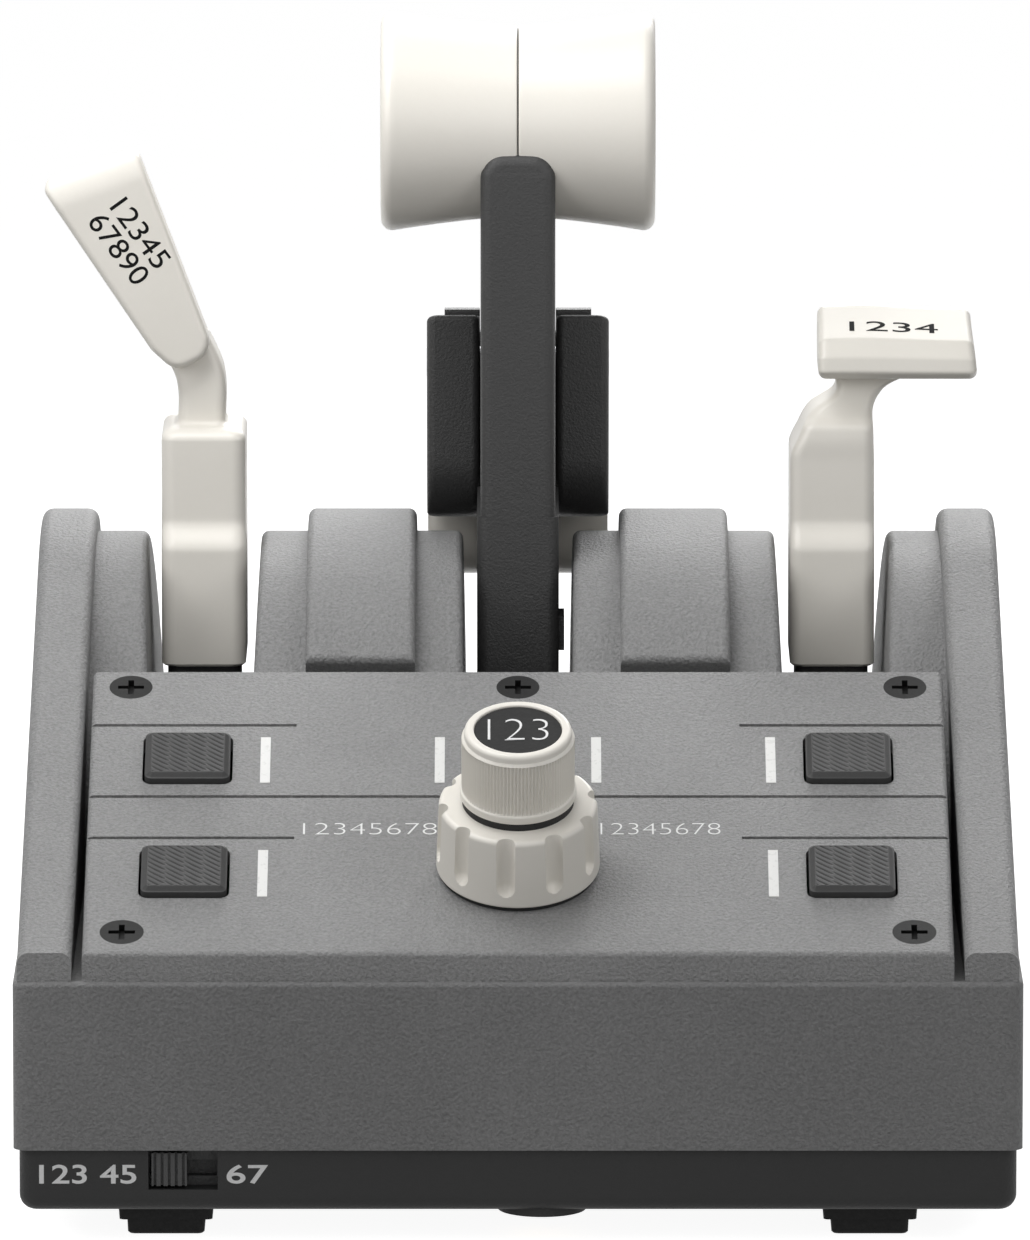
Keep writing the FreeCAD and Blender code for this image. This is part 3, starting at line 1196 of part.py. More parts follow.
os.makedirs("parts", exist_ok=True)
for name, shape in nodes.items():
    shape.exportStep("parts/" + name + ".step")
    box_of = shape.BoundBox
    corners = (box_of.XMin, box_of.XMax, box_of.YMin, box_of.YMax, box_of.ZMin, box_of.ZMax)
    print(name, len(shape.Solids), round(shape.Volume, 1), shape.isValid(), [round(v, 2) for v in corners])
print(len(nodes), "nodes; depth", round(DEPTH, 3), "pivot Y", round(PIVOT_Y, 3))
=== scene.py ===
# %% [markdown]
# # Throttle quadrant: finish and fine forms
# The construction of this desk control is already settled: every shell, lever and screw stands in one
# frame, in metres, and moves on its joint. Here it gets its looks. Shells that are right keep their
# construction mesh and get a real finish. Handles, knobs and keys are modelled again as finer surfaces.

# %% Load the frame
import json
import math

import bpy
import numpy as np
from mathutils import Matrix, Vector

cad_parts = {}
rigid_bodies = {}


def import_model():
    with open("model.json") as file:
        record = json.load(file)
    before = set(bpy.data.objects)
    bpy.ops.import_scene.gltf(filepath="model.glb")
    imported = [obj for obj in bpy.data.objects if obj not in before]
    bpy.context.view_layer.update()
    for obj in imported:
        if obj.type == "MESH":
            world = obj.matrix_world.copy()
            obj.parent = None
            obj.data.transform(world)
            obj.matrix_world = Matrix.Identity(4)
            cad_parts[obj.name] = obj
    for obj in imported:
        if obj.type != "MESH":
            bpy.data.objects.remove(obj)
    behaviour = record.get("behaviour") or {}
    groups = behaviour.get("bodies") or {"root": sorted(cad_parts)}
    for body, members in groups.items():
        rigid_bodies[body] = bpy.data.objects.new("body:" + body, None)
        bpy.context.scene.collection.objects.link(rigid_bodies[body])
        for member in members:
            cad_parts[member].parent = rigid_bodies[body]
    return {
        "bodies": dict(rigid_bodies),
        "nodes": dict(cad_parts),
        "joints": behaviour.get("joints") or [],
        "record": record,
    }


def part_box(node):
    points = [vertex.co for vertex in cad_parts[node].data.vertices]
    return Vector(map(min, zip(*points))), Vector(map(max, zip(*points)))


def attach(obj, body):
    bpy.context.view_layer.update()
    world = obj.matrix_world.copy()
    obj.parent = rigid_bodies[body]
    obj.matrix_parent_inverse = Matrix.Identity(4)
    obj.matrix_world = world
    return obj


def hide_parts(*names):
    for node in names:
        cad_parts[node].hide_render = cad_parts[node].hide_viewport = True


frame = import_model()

MM = 0.001
nodes = frame["nodes"]
joints = {joint["name"]: joint for joint in frame["joints"]}
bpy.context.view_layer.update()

# %% [markdown]
# ## Where things are
# The console slopes, so its keys and dials are easiest to draw flat, in a frame of their own (across, up
# the slope, out of the face), and then laid on the slope. The levers swing about one axle, so their
# handles are drawn about that axle. Both frames are read from the joints.

# %% The console's frame and the levers' axle
ACROSS = np.array([1.0, 0.0, 0.0])
OUTWARD = np.array(joints["dial_turn"]["axis"])
UPHILL = np.cross(OUTWARD, ACROSS)
CONSOLE = np.stack([ACROSS, UPHILL, OUTWARD])
PIVOT = np.array(joints["throttle_tilt"]["pos_m"]) / MM


def points_of(mesh):
    """The vertices of a mesh, one row each."""
    found = np.empty(len(mesh.vertices) * 3, np.float32)
    mesh.vertices.foreach_get("co", found)
    return found.reshape(-1, 3).astype(float)


def corners_mm(node):
    """The vertices of a construction node, in millimetres."""
    return points_of(nodes[node].data) / MM


FACE_HEIGHT = (corners_mm("front_panel") @ OUTWARD).max()
selector_axis = np.array(joints["dial_turn"]["pos_m"]) / MM
SELECTOR = selector_axis + (FACE_HEIGHT - selector_axis @ OUTWARD) * OUTWARD


def console_box(node):
    """Lowest and highest corner of a node in the console's frame, measured from the selector's foot."""
    local = (corners_mm(node) - SELECTOR) @ CONSOLE.T
    return local.min(0), local.max(0)


def lever_x(node):
    """Middle of a lever across the quadrant."""
    low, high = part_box(node)
    return (low.x + high.x) / 2 / MM


print("slope", round(math.degrees(math.acos(OUTWARD[2])), 2), "degrees; axle at", PIVOT.round(2), "mm")

# %% [markdown]
# ## Camera and light
# The object is seen from the front, ten degrees above level, from far enough away that its sides hardly
# converge: a long lens. A small soft box hangs close over the console and falls off fast towards the desk,
# so the upper faces and the tall handles are bright and the case front is calm. Two boxes at the sides and
# one in front open the shadows, and one behind draws a bright line along every top edge.

# %% Camera
def in_scene(name, data):
    """New object that shows this data, linked into the scene."""
    made = bpy.data.objects.new(name, data)
    bpy.context.scene.collection.objects.link(made)
    return made


CAMERA_PLACE = (-0.00048, -2.56166, 0.5357)
CAMERA_DROP = math.radians(10.0)
LENS_MM, SENSOR_MM = 461.6, 36.0
camera = in_scene("camera", bpy.data.cameras.new("camera"))
camera.data.lens = LENS_MM
camera.data.sensor_width = SENSOR_MM
camera.data.clip_end = 100.0
camera.location = CAMERA_PLACE
camera.rotation_euler = (math.radians(90.0) - CAMERA_DROP, 0.0, 0.0)
bpy.context.scene.camera = camera
print("camera", CAMERA_PLACE)


# %% Lamps
def soft_box(name, place, aim, size, power):
    """Square lamp at a place, in metres, turned towards aim. The camera doesn't see it."""
    lamp = bpy.data.lights.new(name, "AREA")
    lamp.size = size
    lamp.energy = power
    holder = in_scene(name, lamp)
    holder.location = place
    holder.rotation_euler = (Vector(aim) - Vector(place)).to_track_quat("-Z", "Y").to_euler()
    holder.visible_camera = False


soft_box("top_softbox", (-0.10, -0.05, 0.36), (0.0, 0.0, 0.06), 0.20, 0.58)
soft_box("left_softbox", (-0.35, -0.25, 0.30), (0.0, 0.0, 0.08), 0.25, 0.62)
soft_box("right_softbox", (0.35, -0.25, 0.30), (0.0, 0.0, 0.08), 0.25, 0.42)
soft_box("front_softbox", (0.0, -0.55, 0.30), (0.0, 0.0, 0.08), 0.35, 0.44)
soft_box("rim_softbox", (0.10, 0.60, 0.45), (0.0, 0.0, 0.10), 0.40, 3.0)
print("five soft boxes")

# %% [markdown]
# ## Small helpers for materials
# A shader is a chain of nodes. One function adds a node, sets its properties and feeds its sockets, so
# that each material below reads as a list. Colours are written as sRGB hex values and turned to the
# linear numbers that the renderer works in.

# %% Colour and node helpers
def linear(hex_colour):
    """sRGB hex to linear RGBA: c / 12.92 near black, ((c + 0.055) / 1.055) ** 2.4 above it."""
    srgb = np.array([int(hex_colour[i:i + 2], 16) for i in (1, 3, 5)]) / 255.0
    value = np.where(srgb <= 0.04045, srgb / 12.92, ((srgb + 0.055) / 1.055) ** 2.4)
    return (*value.tolist(), 1.0)


def add(tree, kind, inputs=(), **settings):
    """One shader node: settings are its properties, inputs pair a socket with a value or an output."""
    made = tree.nodes.new(kind)
    for name, value in settings.items():
        setattr(made, name, value)
    for socket, value in dict(inputs).items():
        if isinstance(value, bpy.types.NodeSocket):
            tree.links.new(value, made.inputs[socket])
        else:
            made.inputs[socket].default_value = value
    return made


def new_material(name):
    """Empty material with its output and shader, ready for links."""
    material = bpy.data.materials.new(name)
    material.use_nodes = True
    tree = material.node_tree
    tree.nodes.clear()
    output = add(tree, "ShaderNodeOutputMaterial")
    shader = add(tree, "ShaderNodeBsdfPrincipled")
    tree.links.new(shader.outputs[0], output.inputs[0])
    return material, tree, shader


def per_metre(size_mm):
    """Noise scale whose features are about size_mm wide."""
    return 1.0 / (size_mm * MM)


print("mid grey in linear light:", np.round(linear("#808080")[0], 3))

# %% [markdown]
# ## World and floor
# The surroundings are plain white to the eye, to reflections and to clear plastic, but light the object
# only softly. Light Path tells the shader which kind of ray is asking. The floor does the same: it
# looks white, keeps the shadow under the case, and throws little light back up.

# %% World
SKY_LIGHT = 0.14


def seen_directly(tree):
    """1 for rays that see a surface straight, mirrored or through clear plastic, 0 for those that light."""
    path = add(tree, "ShaderNodeLightPath")
    either = add(tree, "ShaderNodeMath", {0: path.outputs["Is Camera Ray"], 1: path.outputs["Is Glossy Ray"]},
                 operation="MAXIMUM")
    return add(tree, "ShaderNodeMath", {0: either.outputs[0], 1: path.outputs["Is Transmission Ray"]},
               operation="MAXIMUM").outputs[0]


world = bpy.data.worlds.new("studio")
world.use_nodes = True
sky = world.node_tree
sky.nodes.clear()
strength = add(sky, "ShaderNodeMapRange", {"Value": seen_directly(sky), "To Min": SKY_LIGHT, "To Max": 1.0})
background = add(sky, "ShaderNodeBackground", {"Color": linear("#FFFFFF"), "Strength": strength.outputs[0]})
add(sky, "ShaderNodeOutputWorld", {"Surface": background.outputs[0]})
bpy.context.scene.world = world
print("world lights at", SKY_LIGHT)

# %% Floor
FLOOR_HALF = 6.0
FLOOR_GLOW = 0.93
floor_mesh = bpy.data.meshes.new("floor")
floor_mesh.from_pydata([(x, y, 0.0) for x, y in ((-1, -1), (1, -1), (1, 1), (-1, 1))], [], [(0, 1, 2, 3)])
floor_mesh.transform(Matrix.Scale(FLOOR_HALF, 4))
floor = in_scene("floor", floor_mesh)
paper, tree, shader = new_material("matt paper sweep")
lit = add(tree, "ShaderNodeBsdfDiffuse", {"Color": linear("#B4B4B4")})
bounce = add(tree, "ShaderNodeBsdfDiffuse", {"Color": linear("#8C8C8C")})
glow = add(tree, "ShaderNodeEmission", {"Color": linear("#FFFFFF"), "Strength": FLOOR_GLOW})
white = add(tree, "ShaderNodeAddShader", {0: lit.outputs[0], 1: glow.outputs[0]})
either = add(tree, "ShaderNodeMixShader", {0: seen_directly(tree), 1: bounce.outputs[0], 2: white.outputs[0]})
tree.links.new(either.outputs[0], tree.nodes["Material Output"].inputs[0])
tree.nodes.remove(shader)
floor_mesh.materials.append(paper)
print("floor", 2 * FLOOR_HALF, "m across")

# %% [markdown]
# ## Plastics
# The shells are injection-moulded ABS from a spark-eroded tool, which leaves a fine pebbled grain that
# scatters the light: hence a high roughness, a faint speckle and a shallow bump. The handles are the
# same family of plastic from a smoother tool, so they are satin. Grain and depth are in millimetres.
# Real spark grain is about 0.15 mm across. Here it is drawn coarser and deeper, to show at this distance.

# %% Textured and satin plastics
CLOUD_MM = 28.0
NOISE_BAND = {"From Min": 0.3, "From Max": 0.7}


def moulded(name, light, dark, rough, grain_mm, depth_mm, speckle=0.5, shine=0.5):
    """Moulded plastic: two close colours mixed by grain-sized noise, and the same noise as a bump.

    speckle is the grain's share of the mix against a wide, faint cloud; shine is the specular level."""
    material, tree, shader = new_material(name)
    place = add(tree, "ShaderNodeTexCoord").outputs["Object"]
    grain = add(tree, "ShaderNodeTexNoise", {"Vector": place, "Scale": per_metre(grain_mm), "Detail": 3.0,
                                             "Roughness": 0.6})
    cloud = add(tree, "ShaderNodeTexNoise", {"Vector": place, "Scale": per_metre(CLOUD_MM), "Detail": 2.0})
    share = add(tree, "ShaderNodeMix", {0: speckle, 2: cloud.outputs[0], 3: grain.outputs[0]})
    tone = add(tree, "ShaderNodeMapRange", {"Value": share.outputs[0], **NOISE_BAND})
    colour = add(tree, "ShaderNodeMix", {0: tone.outputs[0], 6: linear(dark), 7: linear(light)},
                 data_type="RGBA")
    polish = add(tree, "ShaderNodeMapRange", {"Value": grain.outputs[0], **NOISE_BAND, "To Min": rough - 0.05,
                                              "To Max": rough + 0.05})
    bump = add(tree, "ShaderNodeBump", {"Strength": 1.0, "Distance": depth_mm * MM,
                                        "Height": grain.outputs[0]})
    tree.links.new(colour.outputs[2], shader.inputs["Base Color"])
    tree.links.new(polish.outputs[0], shader.inputs["Roughness"])
    tree.links.new(bump.outputs[0], shader.inputs["Normal"])
    shader.inputs["Specular IOR Level"].default_value = shine
    return material


finish = {
    "grey_shell": moulded("spark-textured grey ABS", "#959595", "#717171", 0.55, 0.55, 0.40, 0.75, 0.4),
    "black_shell": moulded("spark-textured black ABS", "#232323", "#1B1B1B", 0.60, 0.45, 0.10, 0.6, 0.3),
    "black_part": moulded("moulded black ABS", "#393939", "#2B2B2B", 0.50, 0.40, 0.12, 0.7, 0.45),
    "ivory": moulded("satin ivory ABS", "#EFEBE3", "#EAE6DD", 0.36, 0.9, 0.008, 0.2),
    "nylon": moulded("natural nylon", "#D8D2C4", "#CFC8B8", 0.45, 0.8, 0.02),
    "rubber": moulded("moulded rubber", "#1C1C1C", "#161616", 0.75, 0.6, 0.05, 0.5, 0.3),
    "board": moulded("solder-masked glass fibre", "#1F5A33", "#1A4F2C", 0.35, 1.2, 0.02),
    "white_guide": moulded("opal light-guide acrylic", "#E6E6E4", "#DFDFDD", 0.30, 1.0, 0.01, 0.2),
}
# The lower housing's grey is darker than the console's: painted shade on the case front.
housing_shade_finish = moulded("spark-textured grey ABS with painted shade", "#838383", "#646464", 0.58, 0.55, 0.36, 0.75, 0.35)
print(len(finish), "plastics")

# %% [markdown]
# ## Metals
# Few metal parts show: the screws in the console, blackened so that they don't shine, and inside the
# case zinc-plated steel, brass bushes and nickel-plated magnets. A metal's colour is its reflection, so
# metallic is 1 and the colour is bright. Turned and rolled parts carry a fine streak, drawn as noise
# that is stretched along one direction.

# %% Plated and blackened metals
STRETCH = 30


def metal(name, light, dark, rough, streak_mm):
    """Bright metal with noise stretched along X, in colour and in roughness."""
    material, tree, shader = new_material(name)
    place = add(tree, "ShaderNodeTexCoord").outputs["Object"]
    drawn = add(tree, "ShaderNodeMapping", {"Vector": place, "Scale": (1 / STRETCH, 1.0, 1.0)})
    streak = add(tree, "ShaderNodeTexNoise", {"Vector": drawn.outputs[0], "Scale": per_metre(streak_mm),
                                              "Detail": 4.0})
    colour = add(tree, "ShaderNodeMix", {0: streak.outputs[0], 6: linear(dark), 7: linear(light)},
                 data_type="RGBA")
    polish = add(tree, "ShaderNodeMapRange", {"Value": streak.outputs[0], "To Min": rough - 0.08,
                                              "To Max": rough + 0.08})
    tree.links.new(colour.outputs[2], shader.inputs["Base Color"])
    tree.links.new(polish.outputs[0], shader.inputs["Roughness"])
    shader.inputs["Metallic"].default_value = 1.0
    return material


finish["steel"] = metal("zinc-plated steel", "#C9CACC", "#B4B6BA", 0.35, 0.3)
finish["brass"] = metal("turned brass", "#D9B566", "#C79F50", 0.30, 0.2)
finish["magnet"] = metal("nickel-plated magnet", "#D6D3CC", "#C8C5BD", 0.18, 0.4)
finish["black_steel"] = moulded("black-oxide steel", "#181818", "#121212", 0.5, 0.4, 0.02, 0.6, 0.15)
print("finishes:", ", ".join(sorted(finish)))

# %% [markdown]
# ## Dressing the construction nodes
# Each node names a material slot in its record, and takes that finish. The meshes are loose triangles,
# so three modifiers make them shade as moulded parts: Weld joins the triangles, Edge Split keeps
# the sharp arrises sharp, and Weighted Normal keeps flat faces flat beside small rounded edges.

# %% Finishes for the construction nodes
SHARP = math.radians(38.0)
WELD_REACH = 0.002
FACE_WEIGHT = 90


def crisp(piece):
    """Hard edges across large turns, and flat faces kept flat beside small ones."""
    split = piece.modifiers.new("edge split", "EDGE_SPLIT")
    split.split_angle = SHARP
    normal = piece.modifiers.new("weighted normal", "WEIGHTED_NORMAL")
    normal.weight = FACE_WEIGHT


def shade_as_solid(piece):
    """Weld the loose triangles and shade them as one solid."""
    piece.data.shade_smooth()
    weld = piece.modifiers.new("weld", "WELD")
    weld.merge_threshold = WELD_REACH * MM
    crisp(piece)


for row in frame["record"]["subparts"]:
    part = nodes[row["node"]]
    part.data.materials.clear()
    part.data.materials.append(finish[row["material_slot"]])
    shade_as_solid(part)
# The lower housing takes the darker grey, which paints shade on the case front.
nodes["lower_housing"].data.materials[0] = housing_shade_finish
print("dressed", len(nodes), "nodes")

# %% [markdown]
# ## Surfaces from numbers
# Every new form here is a sheet of points: rows along one direction, columns along the other. Columns
# wrap round, each end row closes to a point in its middle, and the sign of the enclosed volume tells
# whether the faces look outwards. A form is drawn in millimetres in a frame of its own and laid in
# place by a matrix.

# %% From a grid of points to an object
def sheet_faces(rows, columns):
    """Quads between neighbouring rows, with the last column joined to the first."""
    index = np.arange(rows * columns).reshape(rows, columns)
    after = np.roll(index, -1, axis=1)
    return np.stack([index[:-1], after[:-1], after[1:], index[1:]], -1).reshape(-1, 4)


def new_piece(name, points, faces):
    """Smooth object in the scene, from points in millimetres and the corners of its faces."""
    mesh = bpy.data.meshes.new(name)
    mesh.from_pydata((points * MM).tolist(), [], faces)
    mesh.shade_smooth()
    print(name, len(mesh.polygons), "faces")
    return in_scene(name, mesh)


def six_volumes(points, triangles):
    """Six times the volume that triangles enclose, positive when they face outwards."""
    a, b, c = points[triangles].transpose(1, 0, 2)
    return np.einsum("ij,ij->", a, np.cross(b, c))


def surface(name, grid, axes=np.eye(3), origin=(0.0, 0.0, 0.0)):
    """Closed mesh from grid[row, column] in millimetres: point = origin + local coordinates along axes."""
    rows, columns = grid.shape[:2]
    points = grid.reshape(-1, 3)
    ends = np.stack([grid[0].mean(0), grid[-1].mean(0)])
    points = np.concatenate([points, ends])
    quads = sheet_faces(rows, columns)
    ring = np.arange(columns)
    nearby = np.roll(ring, -1)
    first = np.stack([nearby, ring, np.full(columns, rows * columns)], -1)
    last = np.stack([ring, nearby, np.full(columns, rows * columns + 1)], -1)
    last[:, :2] += (rows - 1) * columns
    if sum(six_volumes(points, part) for part in (quads[:, :3], quads[:, [0, 2, 3]], first, last)) < 0:
        quads, first, last = quads[:, ::-1], first[:, ::-1], last[:, ::-1]
    return new_piece(name, points @ axes + origin, quads.tolist() + first.tolist() + last.tolist())


def fit_out(piece, body, slot, *stands_for):
    """Give a finished piece its finish, its body and the construction nodes that it stands for."""
    piece.data.materials.append(finish[slot])
    crisp(piece)
    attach(piece, body)
    if stands_for:
        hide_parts(*stands_for)

# %% [markdown]
# ## Outlines with round corners
# A turned or moulded outline is a few corner points, each with a radius. The corner is replaced by an
# arc that touches both sides. With the half turn at the corner called h, the arc starts r * tan(h)
# before the corner, and its centre lies r away from both sides.

# %% Rounded corners and smooth curves
def rounded_line(points, radii, steps=6, closed=False):
    """Outline through points with every corner rounded by its own radius; radius 0 keeps the corner."""
    points, radii = np.asarray(points, float), np.asarray(radii, float)
    before, after = np.roll(points, 1, 0), np.roll(points, -1, 0)
    if not closed:
        before[0], after[-1] = points[0] * 2 - after[0], points[-1] * 2 - before[-1]
    arrive = (points - before) / np.linalg.norm(points - before, axis=1, keepdims=True)
    leave = (after - points) / np.linalg.norm(after - points, axis=1, keepdims=True)
    half = np.arccos(np.clip((arrive * leave).sum(1), -1, 1)) / 2
    reach = radii * np.tan(half)
    turn = np.sign(arrive[:, 0] * leave[:, 1] - arrive[:, 1] * leave[:, 0])[:, None]
    side = np.stack([-arrive[:, 1], arrive[:, 0]], 1) * turn
    centre = points - arrive * reach[:, None] + side * radii[:, None]
    swing = np.linspace(0, 1, steps)[None, :, None] * (2 * half)[:, None, None]
    spoke = radii[:, None, None]
    arc = centre[:, None] + spoke * (arrive[:, None] * np.sin(swing) - side[:, None] * np.cos(swing))
    flat = arc.reshape(-1, 2)
    keep = np.r_[True, np.linalg.norm(np.diff(flat, axis=0), axis=1) > 1e-6]
    return flat[keep]


def through(t, knots):
    """Smooth curve through (t, value) knots: a cubic between neighbours, its slope the average of both."""
    at, value = np.array(knots, float).T
    slope = np.diff(value) / np.diff(at)
    tangent = np.r_[slope[0], (slope[1:] + slope[:-1]) / 2, slope[-1]]
    i = np.clip(np.searchsorted(at, t) - 1, 0, len(at) - 2)
    width = at[i + 1] - at[i]
    u = np.clip((t - at[i]) / width, 0, 1)
    rise = u * u * (3 - 2 * u)
    return (value[i] * (1 - rise) + value[i + 1] * rise + width * u * (1 - u) ** 2 * tangent[i]
            - width * u * u * (1 - u) * tangent[i + 1])


def ease(t, start, end):
    """0 before start, 1 after end, and a smooth step between."""
    u = np.clip((t - start) / (end - start), 0, 1)
    return u * u * (3 - 2 * u)


def full_turn(count):
    """Angles once round, evenly spaced, as one row."""
    return (np.arange(count) / count * 2 * math.pi)[None, :]


def turned(radius, height, angle):
    """Turned form about the third axis; angle 0 faces the pilot."""
    return np.stack([radius * np.sin(angle), -radius * np.cos(angle), height + 0 * angle], -1)


def turned_across(x, radius, angle):
    """Turned form about the first axis."""
    return np.stack([x + 0 * angle, radius * np.cos(angle), radius * np.sin(angle)], -1)


print("outline helpers ready")

# %% [markdown]
# ## Throttle grip
# The grip is a fat, waisted roll in two halves, screwed together over the stem. It could be a cylinder
# with a lattice, but a turned profile says exactly how the waist runs:
# radius = waist + (end - waist) * (x / length) ** flare, with a rounded rim.

# %% Throttle grip
grip_low, grip_high = [np.array(corner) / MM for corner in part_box("throttle_grip_right")]
GRIP_CENTRE = np.array([PIVOT[0], PIVOT[1], (grip_low[2] + grip_high[2]) / 2])
GRIP_HALF = grip_high[0]
GRIP_END_R = (grip_high[2] - grip_low[2]) / 2
GRIP_WAIST_R = 15.7
GRIP_FLARE = 1.45
GRIP_RIM = 1.9
GRIP_CROWN = 0.5
GRIP_SEAM = 0.12
GRIP_LIP = 0.3


def grip_half(side):
    """One half turned about X: a flat parting face, the waisted body and a crowned end."""
    length = GRIP_HALF - GRIP_RIM
    x = np.linspace(GRIP_SEAM + GRIP_LIP, length, 28)
    waist = GRIP_WAIST_R + (GRIP_END_R - GRIP_WAIST_R) * (x / length) ** GRIP_FLARE
    a = np.linspace(0, math.pi / 2, 9)[1:]
    lip = np.linspace(0, math.pi / 2, 5)[:-1]
    rim_x = length + GRIP_RIM * np.sin(a)
    rim_r = GRIP_END_R - GRIP_RIM * (1 - np.cos(a))
    crown_r = np.linspace(0.96, 0.05, 8) * rim_r[-1]
    crown_x = GRIP_HALF - GRIP_CROWN * (1 - np.cos((1 - crown_r / rim_r[-1]) * math.pi / 2))
    profile_x = np.r_[GRIP_SEAM, GRIP_SEAM, GRIP_SEAM + GRIP_LIP * (1 - np.cos(lip)), x, rim_x, crown_x]
    start = GRIP_WAIST_R - GRIP_LIP
    profile_r = np.r_[0.5, start - 1, start + GRIP_LIP * np.sin(lip), waist, rim_r, crown_r]
    return turned_across(side * profile_x[:, None], profile_r[:, None], full_turn(160))


for side, name in ((-1, "throttle_grip_left"), (1, "throttle_grip_right")):
    fit_out(surface(name + "_form", grip_half(side), origin=GRIP_CENTRE), "throttle", "ivory", name)

# %% [markdown]
# ## Parting line
# The halves meet in a thin line of shade. An empty gap would let light through, so a black disc, a little
# smaller than the waist, stands between them and paints that shade.

# %% Painted shade in the parting line
# A black disc between the grip halves: painted shade in the parting line.
SEAM_SHADE_R = GRIP_WAIST_R - GRIP_LIP - 0.1
SEAM_SHADE_HALF = GRIP_SEAM - 0.01
seam_shade_x = SEAM_SHADE_HALF * np.array([[-1], [-1], [1], [1]])
seam_shade_r = np.array([[0.5], [SEAM_SHADE_R], [SEAM_SHADE_R], [0.5]])
seam_shade = turned_across(seam_shade_x, seam_shade_r, full_turn(128))
fit_out(surface("throttle_grip_seam_shade", seam_shade, origin=GRIP_CENTRE), "throttle", "black_shell")

# %% [markdown]
# ## Selector dial
# The outer dial is a low drum with ten thumb flutes. Each flute is the path of a ball-nosed cutter that
# plunged from the top and stopped above the base. Booleans would leave ragged meshes. Instead the drum's
# radius is a formula of angle and height: a cutter of radius c whose middle stands off the wall takes
# sqrt(c^2 - t^2 - h^2) - offset, at a distance t across the flute and h below its stop.

# %% Selector dial
def radius_and_top(name):
    """Radius of a turned piece and its top's height over the panel, from its construction box."""
    high = console_box(name)[1]
    return high[0], high[2]


DIAL_R, DIAL_HIGH = radius_and_top("selector_dial")
DIAL_TOP_R = DIAL_R - 0.45
DIAL_FOOT = 0.8
DIAL_BORE_R = 3.0
FLUTES = 10
FLUTE_PHASE = math.radians(-8.9)
CUTTER_R = 1.5
CUTTER_DEPTH = 1.35
FLUTE_STOP = DIAL_FOOT + 3.6


def flute_cut(angle, height, radius):
    """Depth of the nearest flute at an angle and height on a wall of this radius."""
    pitch = 2 * math.pi / FLUTES
    off = (angle - FLUTE_PHASE + pitch / 2) % pitch - pitch / 2
    across = radius * np.sin(off)
    below = np.maximum(0, FLUTE_STOP - height)
    ball = np.sqrt(np.maximum(0, CUTTER_R ** 2 - across ** 2 - below ** 2))
    return np.maximum(0, ball - (CUTTER_R - CUTTER_DEPTH))


def selector_dial_form():
    """Drum of revolution whose wall and top rim are pushed in by the flutes."""
    wall = rounded_line([(DIAL_BORE_R, DIAL_FOOT), (DIAL_R, DIAL_FOOT), (DIAL_TOP_R, DIAL_HIGH),
                         (DIAL_BORE_R, DIAL_HIGH)], [0, 0.35, 0.8, 0], 7)
    height = np.linspace(DIAL_FOOT + 0.5, DIAL_HIGH - 1.0, 44)
    on_wall = np.interp(height, [DIAL_FOOT, DIAL_HIGH], [DIAL_R, DIAL_TOP_R])
    foot = wall[wall[:, 1] < DIAL_FOOT + 0.45]
    crest = wall[wall[:, 1] > DIAL_HIGH - 0.95][:-1]
    deck = np.stack([np.linspace(DIAL_TOP_R - 0.9, 9.0, 14), np.full(14, DIAL_HIGH)], 1)
    profile = np.concatenate([foot, np.stack([on_wall, height], 1), crest, deck, [[DIAL_BORE_R, DIAL_HIGH]]])
    radius, height = profile[:, :1], profile[:, 1:]
    angle = full_turn(90 * FLUTES)
    full = np.interp(height, [DIAL_FOOT, DIAL_HIGH], [DIAL_R, DIAL_TOP_R])
    return turned(np.minimum(radius, full - flute_cut(angle, height, full)), height, angle)


fit_out(surface("selector_dial_form", selector_dial_form(), CONSOLE, SELECTOR), "dial", "ivory",
        "selector_dial")

# %% [markdown]
# ## Select knob
# The inner knob turns and pushes. Its grip is straight-knurled: a hundred fine ribs run up the side
# between a plain flange and a rounded rim. The ribs are real geometry, because their teeth show against
# the rim: radius = R - depth * (0.5 - 0.5 * cos(100 * angle)).

# %% Select knob
KNOB_LOW = console_box("select_knob")[0][2]
FLANGE_R, KNOB_HIGH = radius_and_top("select_knob")
KNOB_R = FLANGE_R - 0.25
KNOB_RIM_R = KNOB_R - 0.45
KNOB_BORE_R = 2.0
DISC_R, DISC_TOP = radius_and_top("knob_disc")
RIBS = 100
RIB_DEPTH = 0.3
RIBS_LOW, RIBS_HIGH = KNOB_LOW + 1.45, KNOB_HIGH - 1.65
RIB_RUN_OUT = 0.25


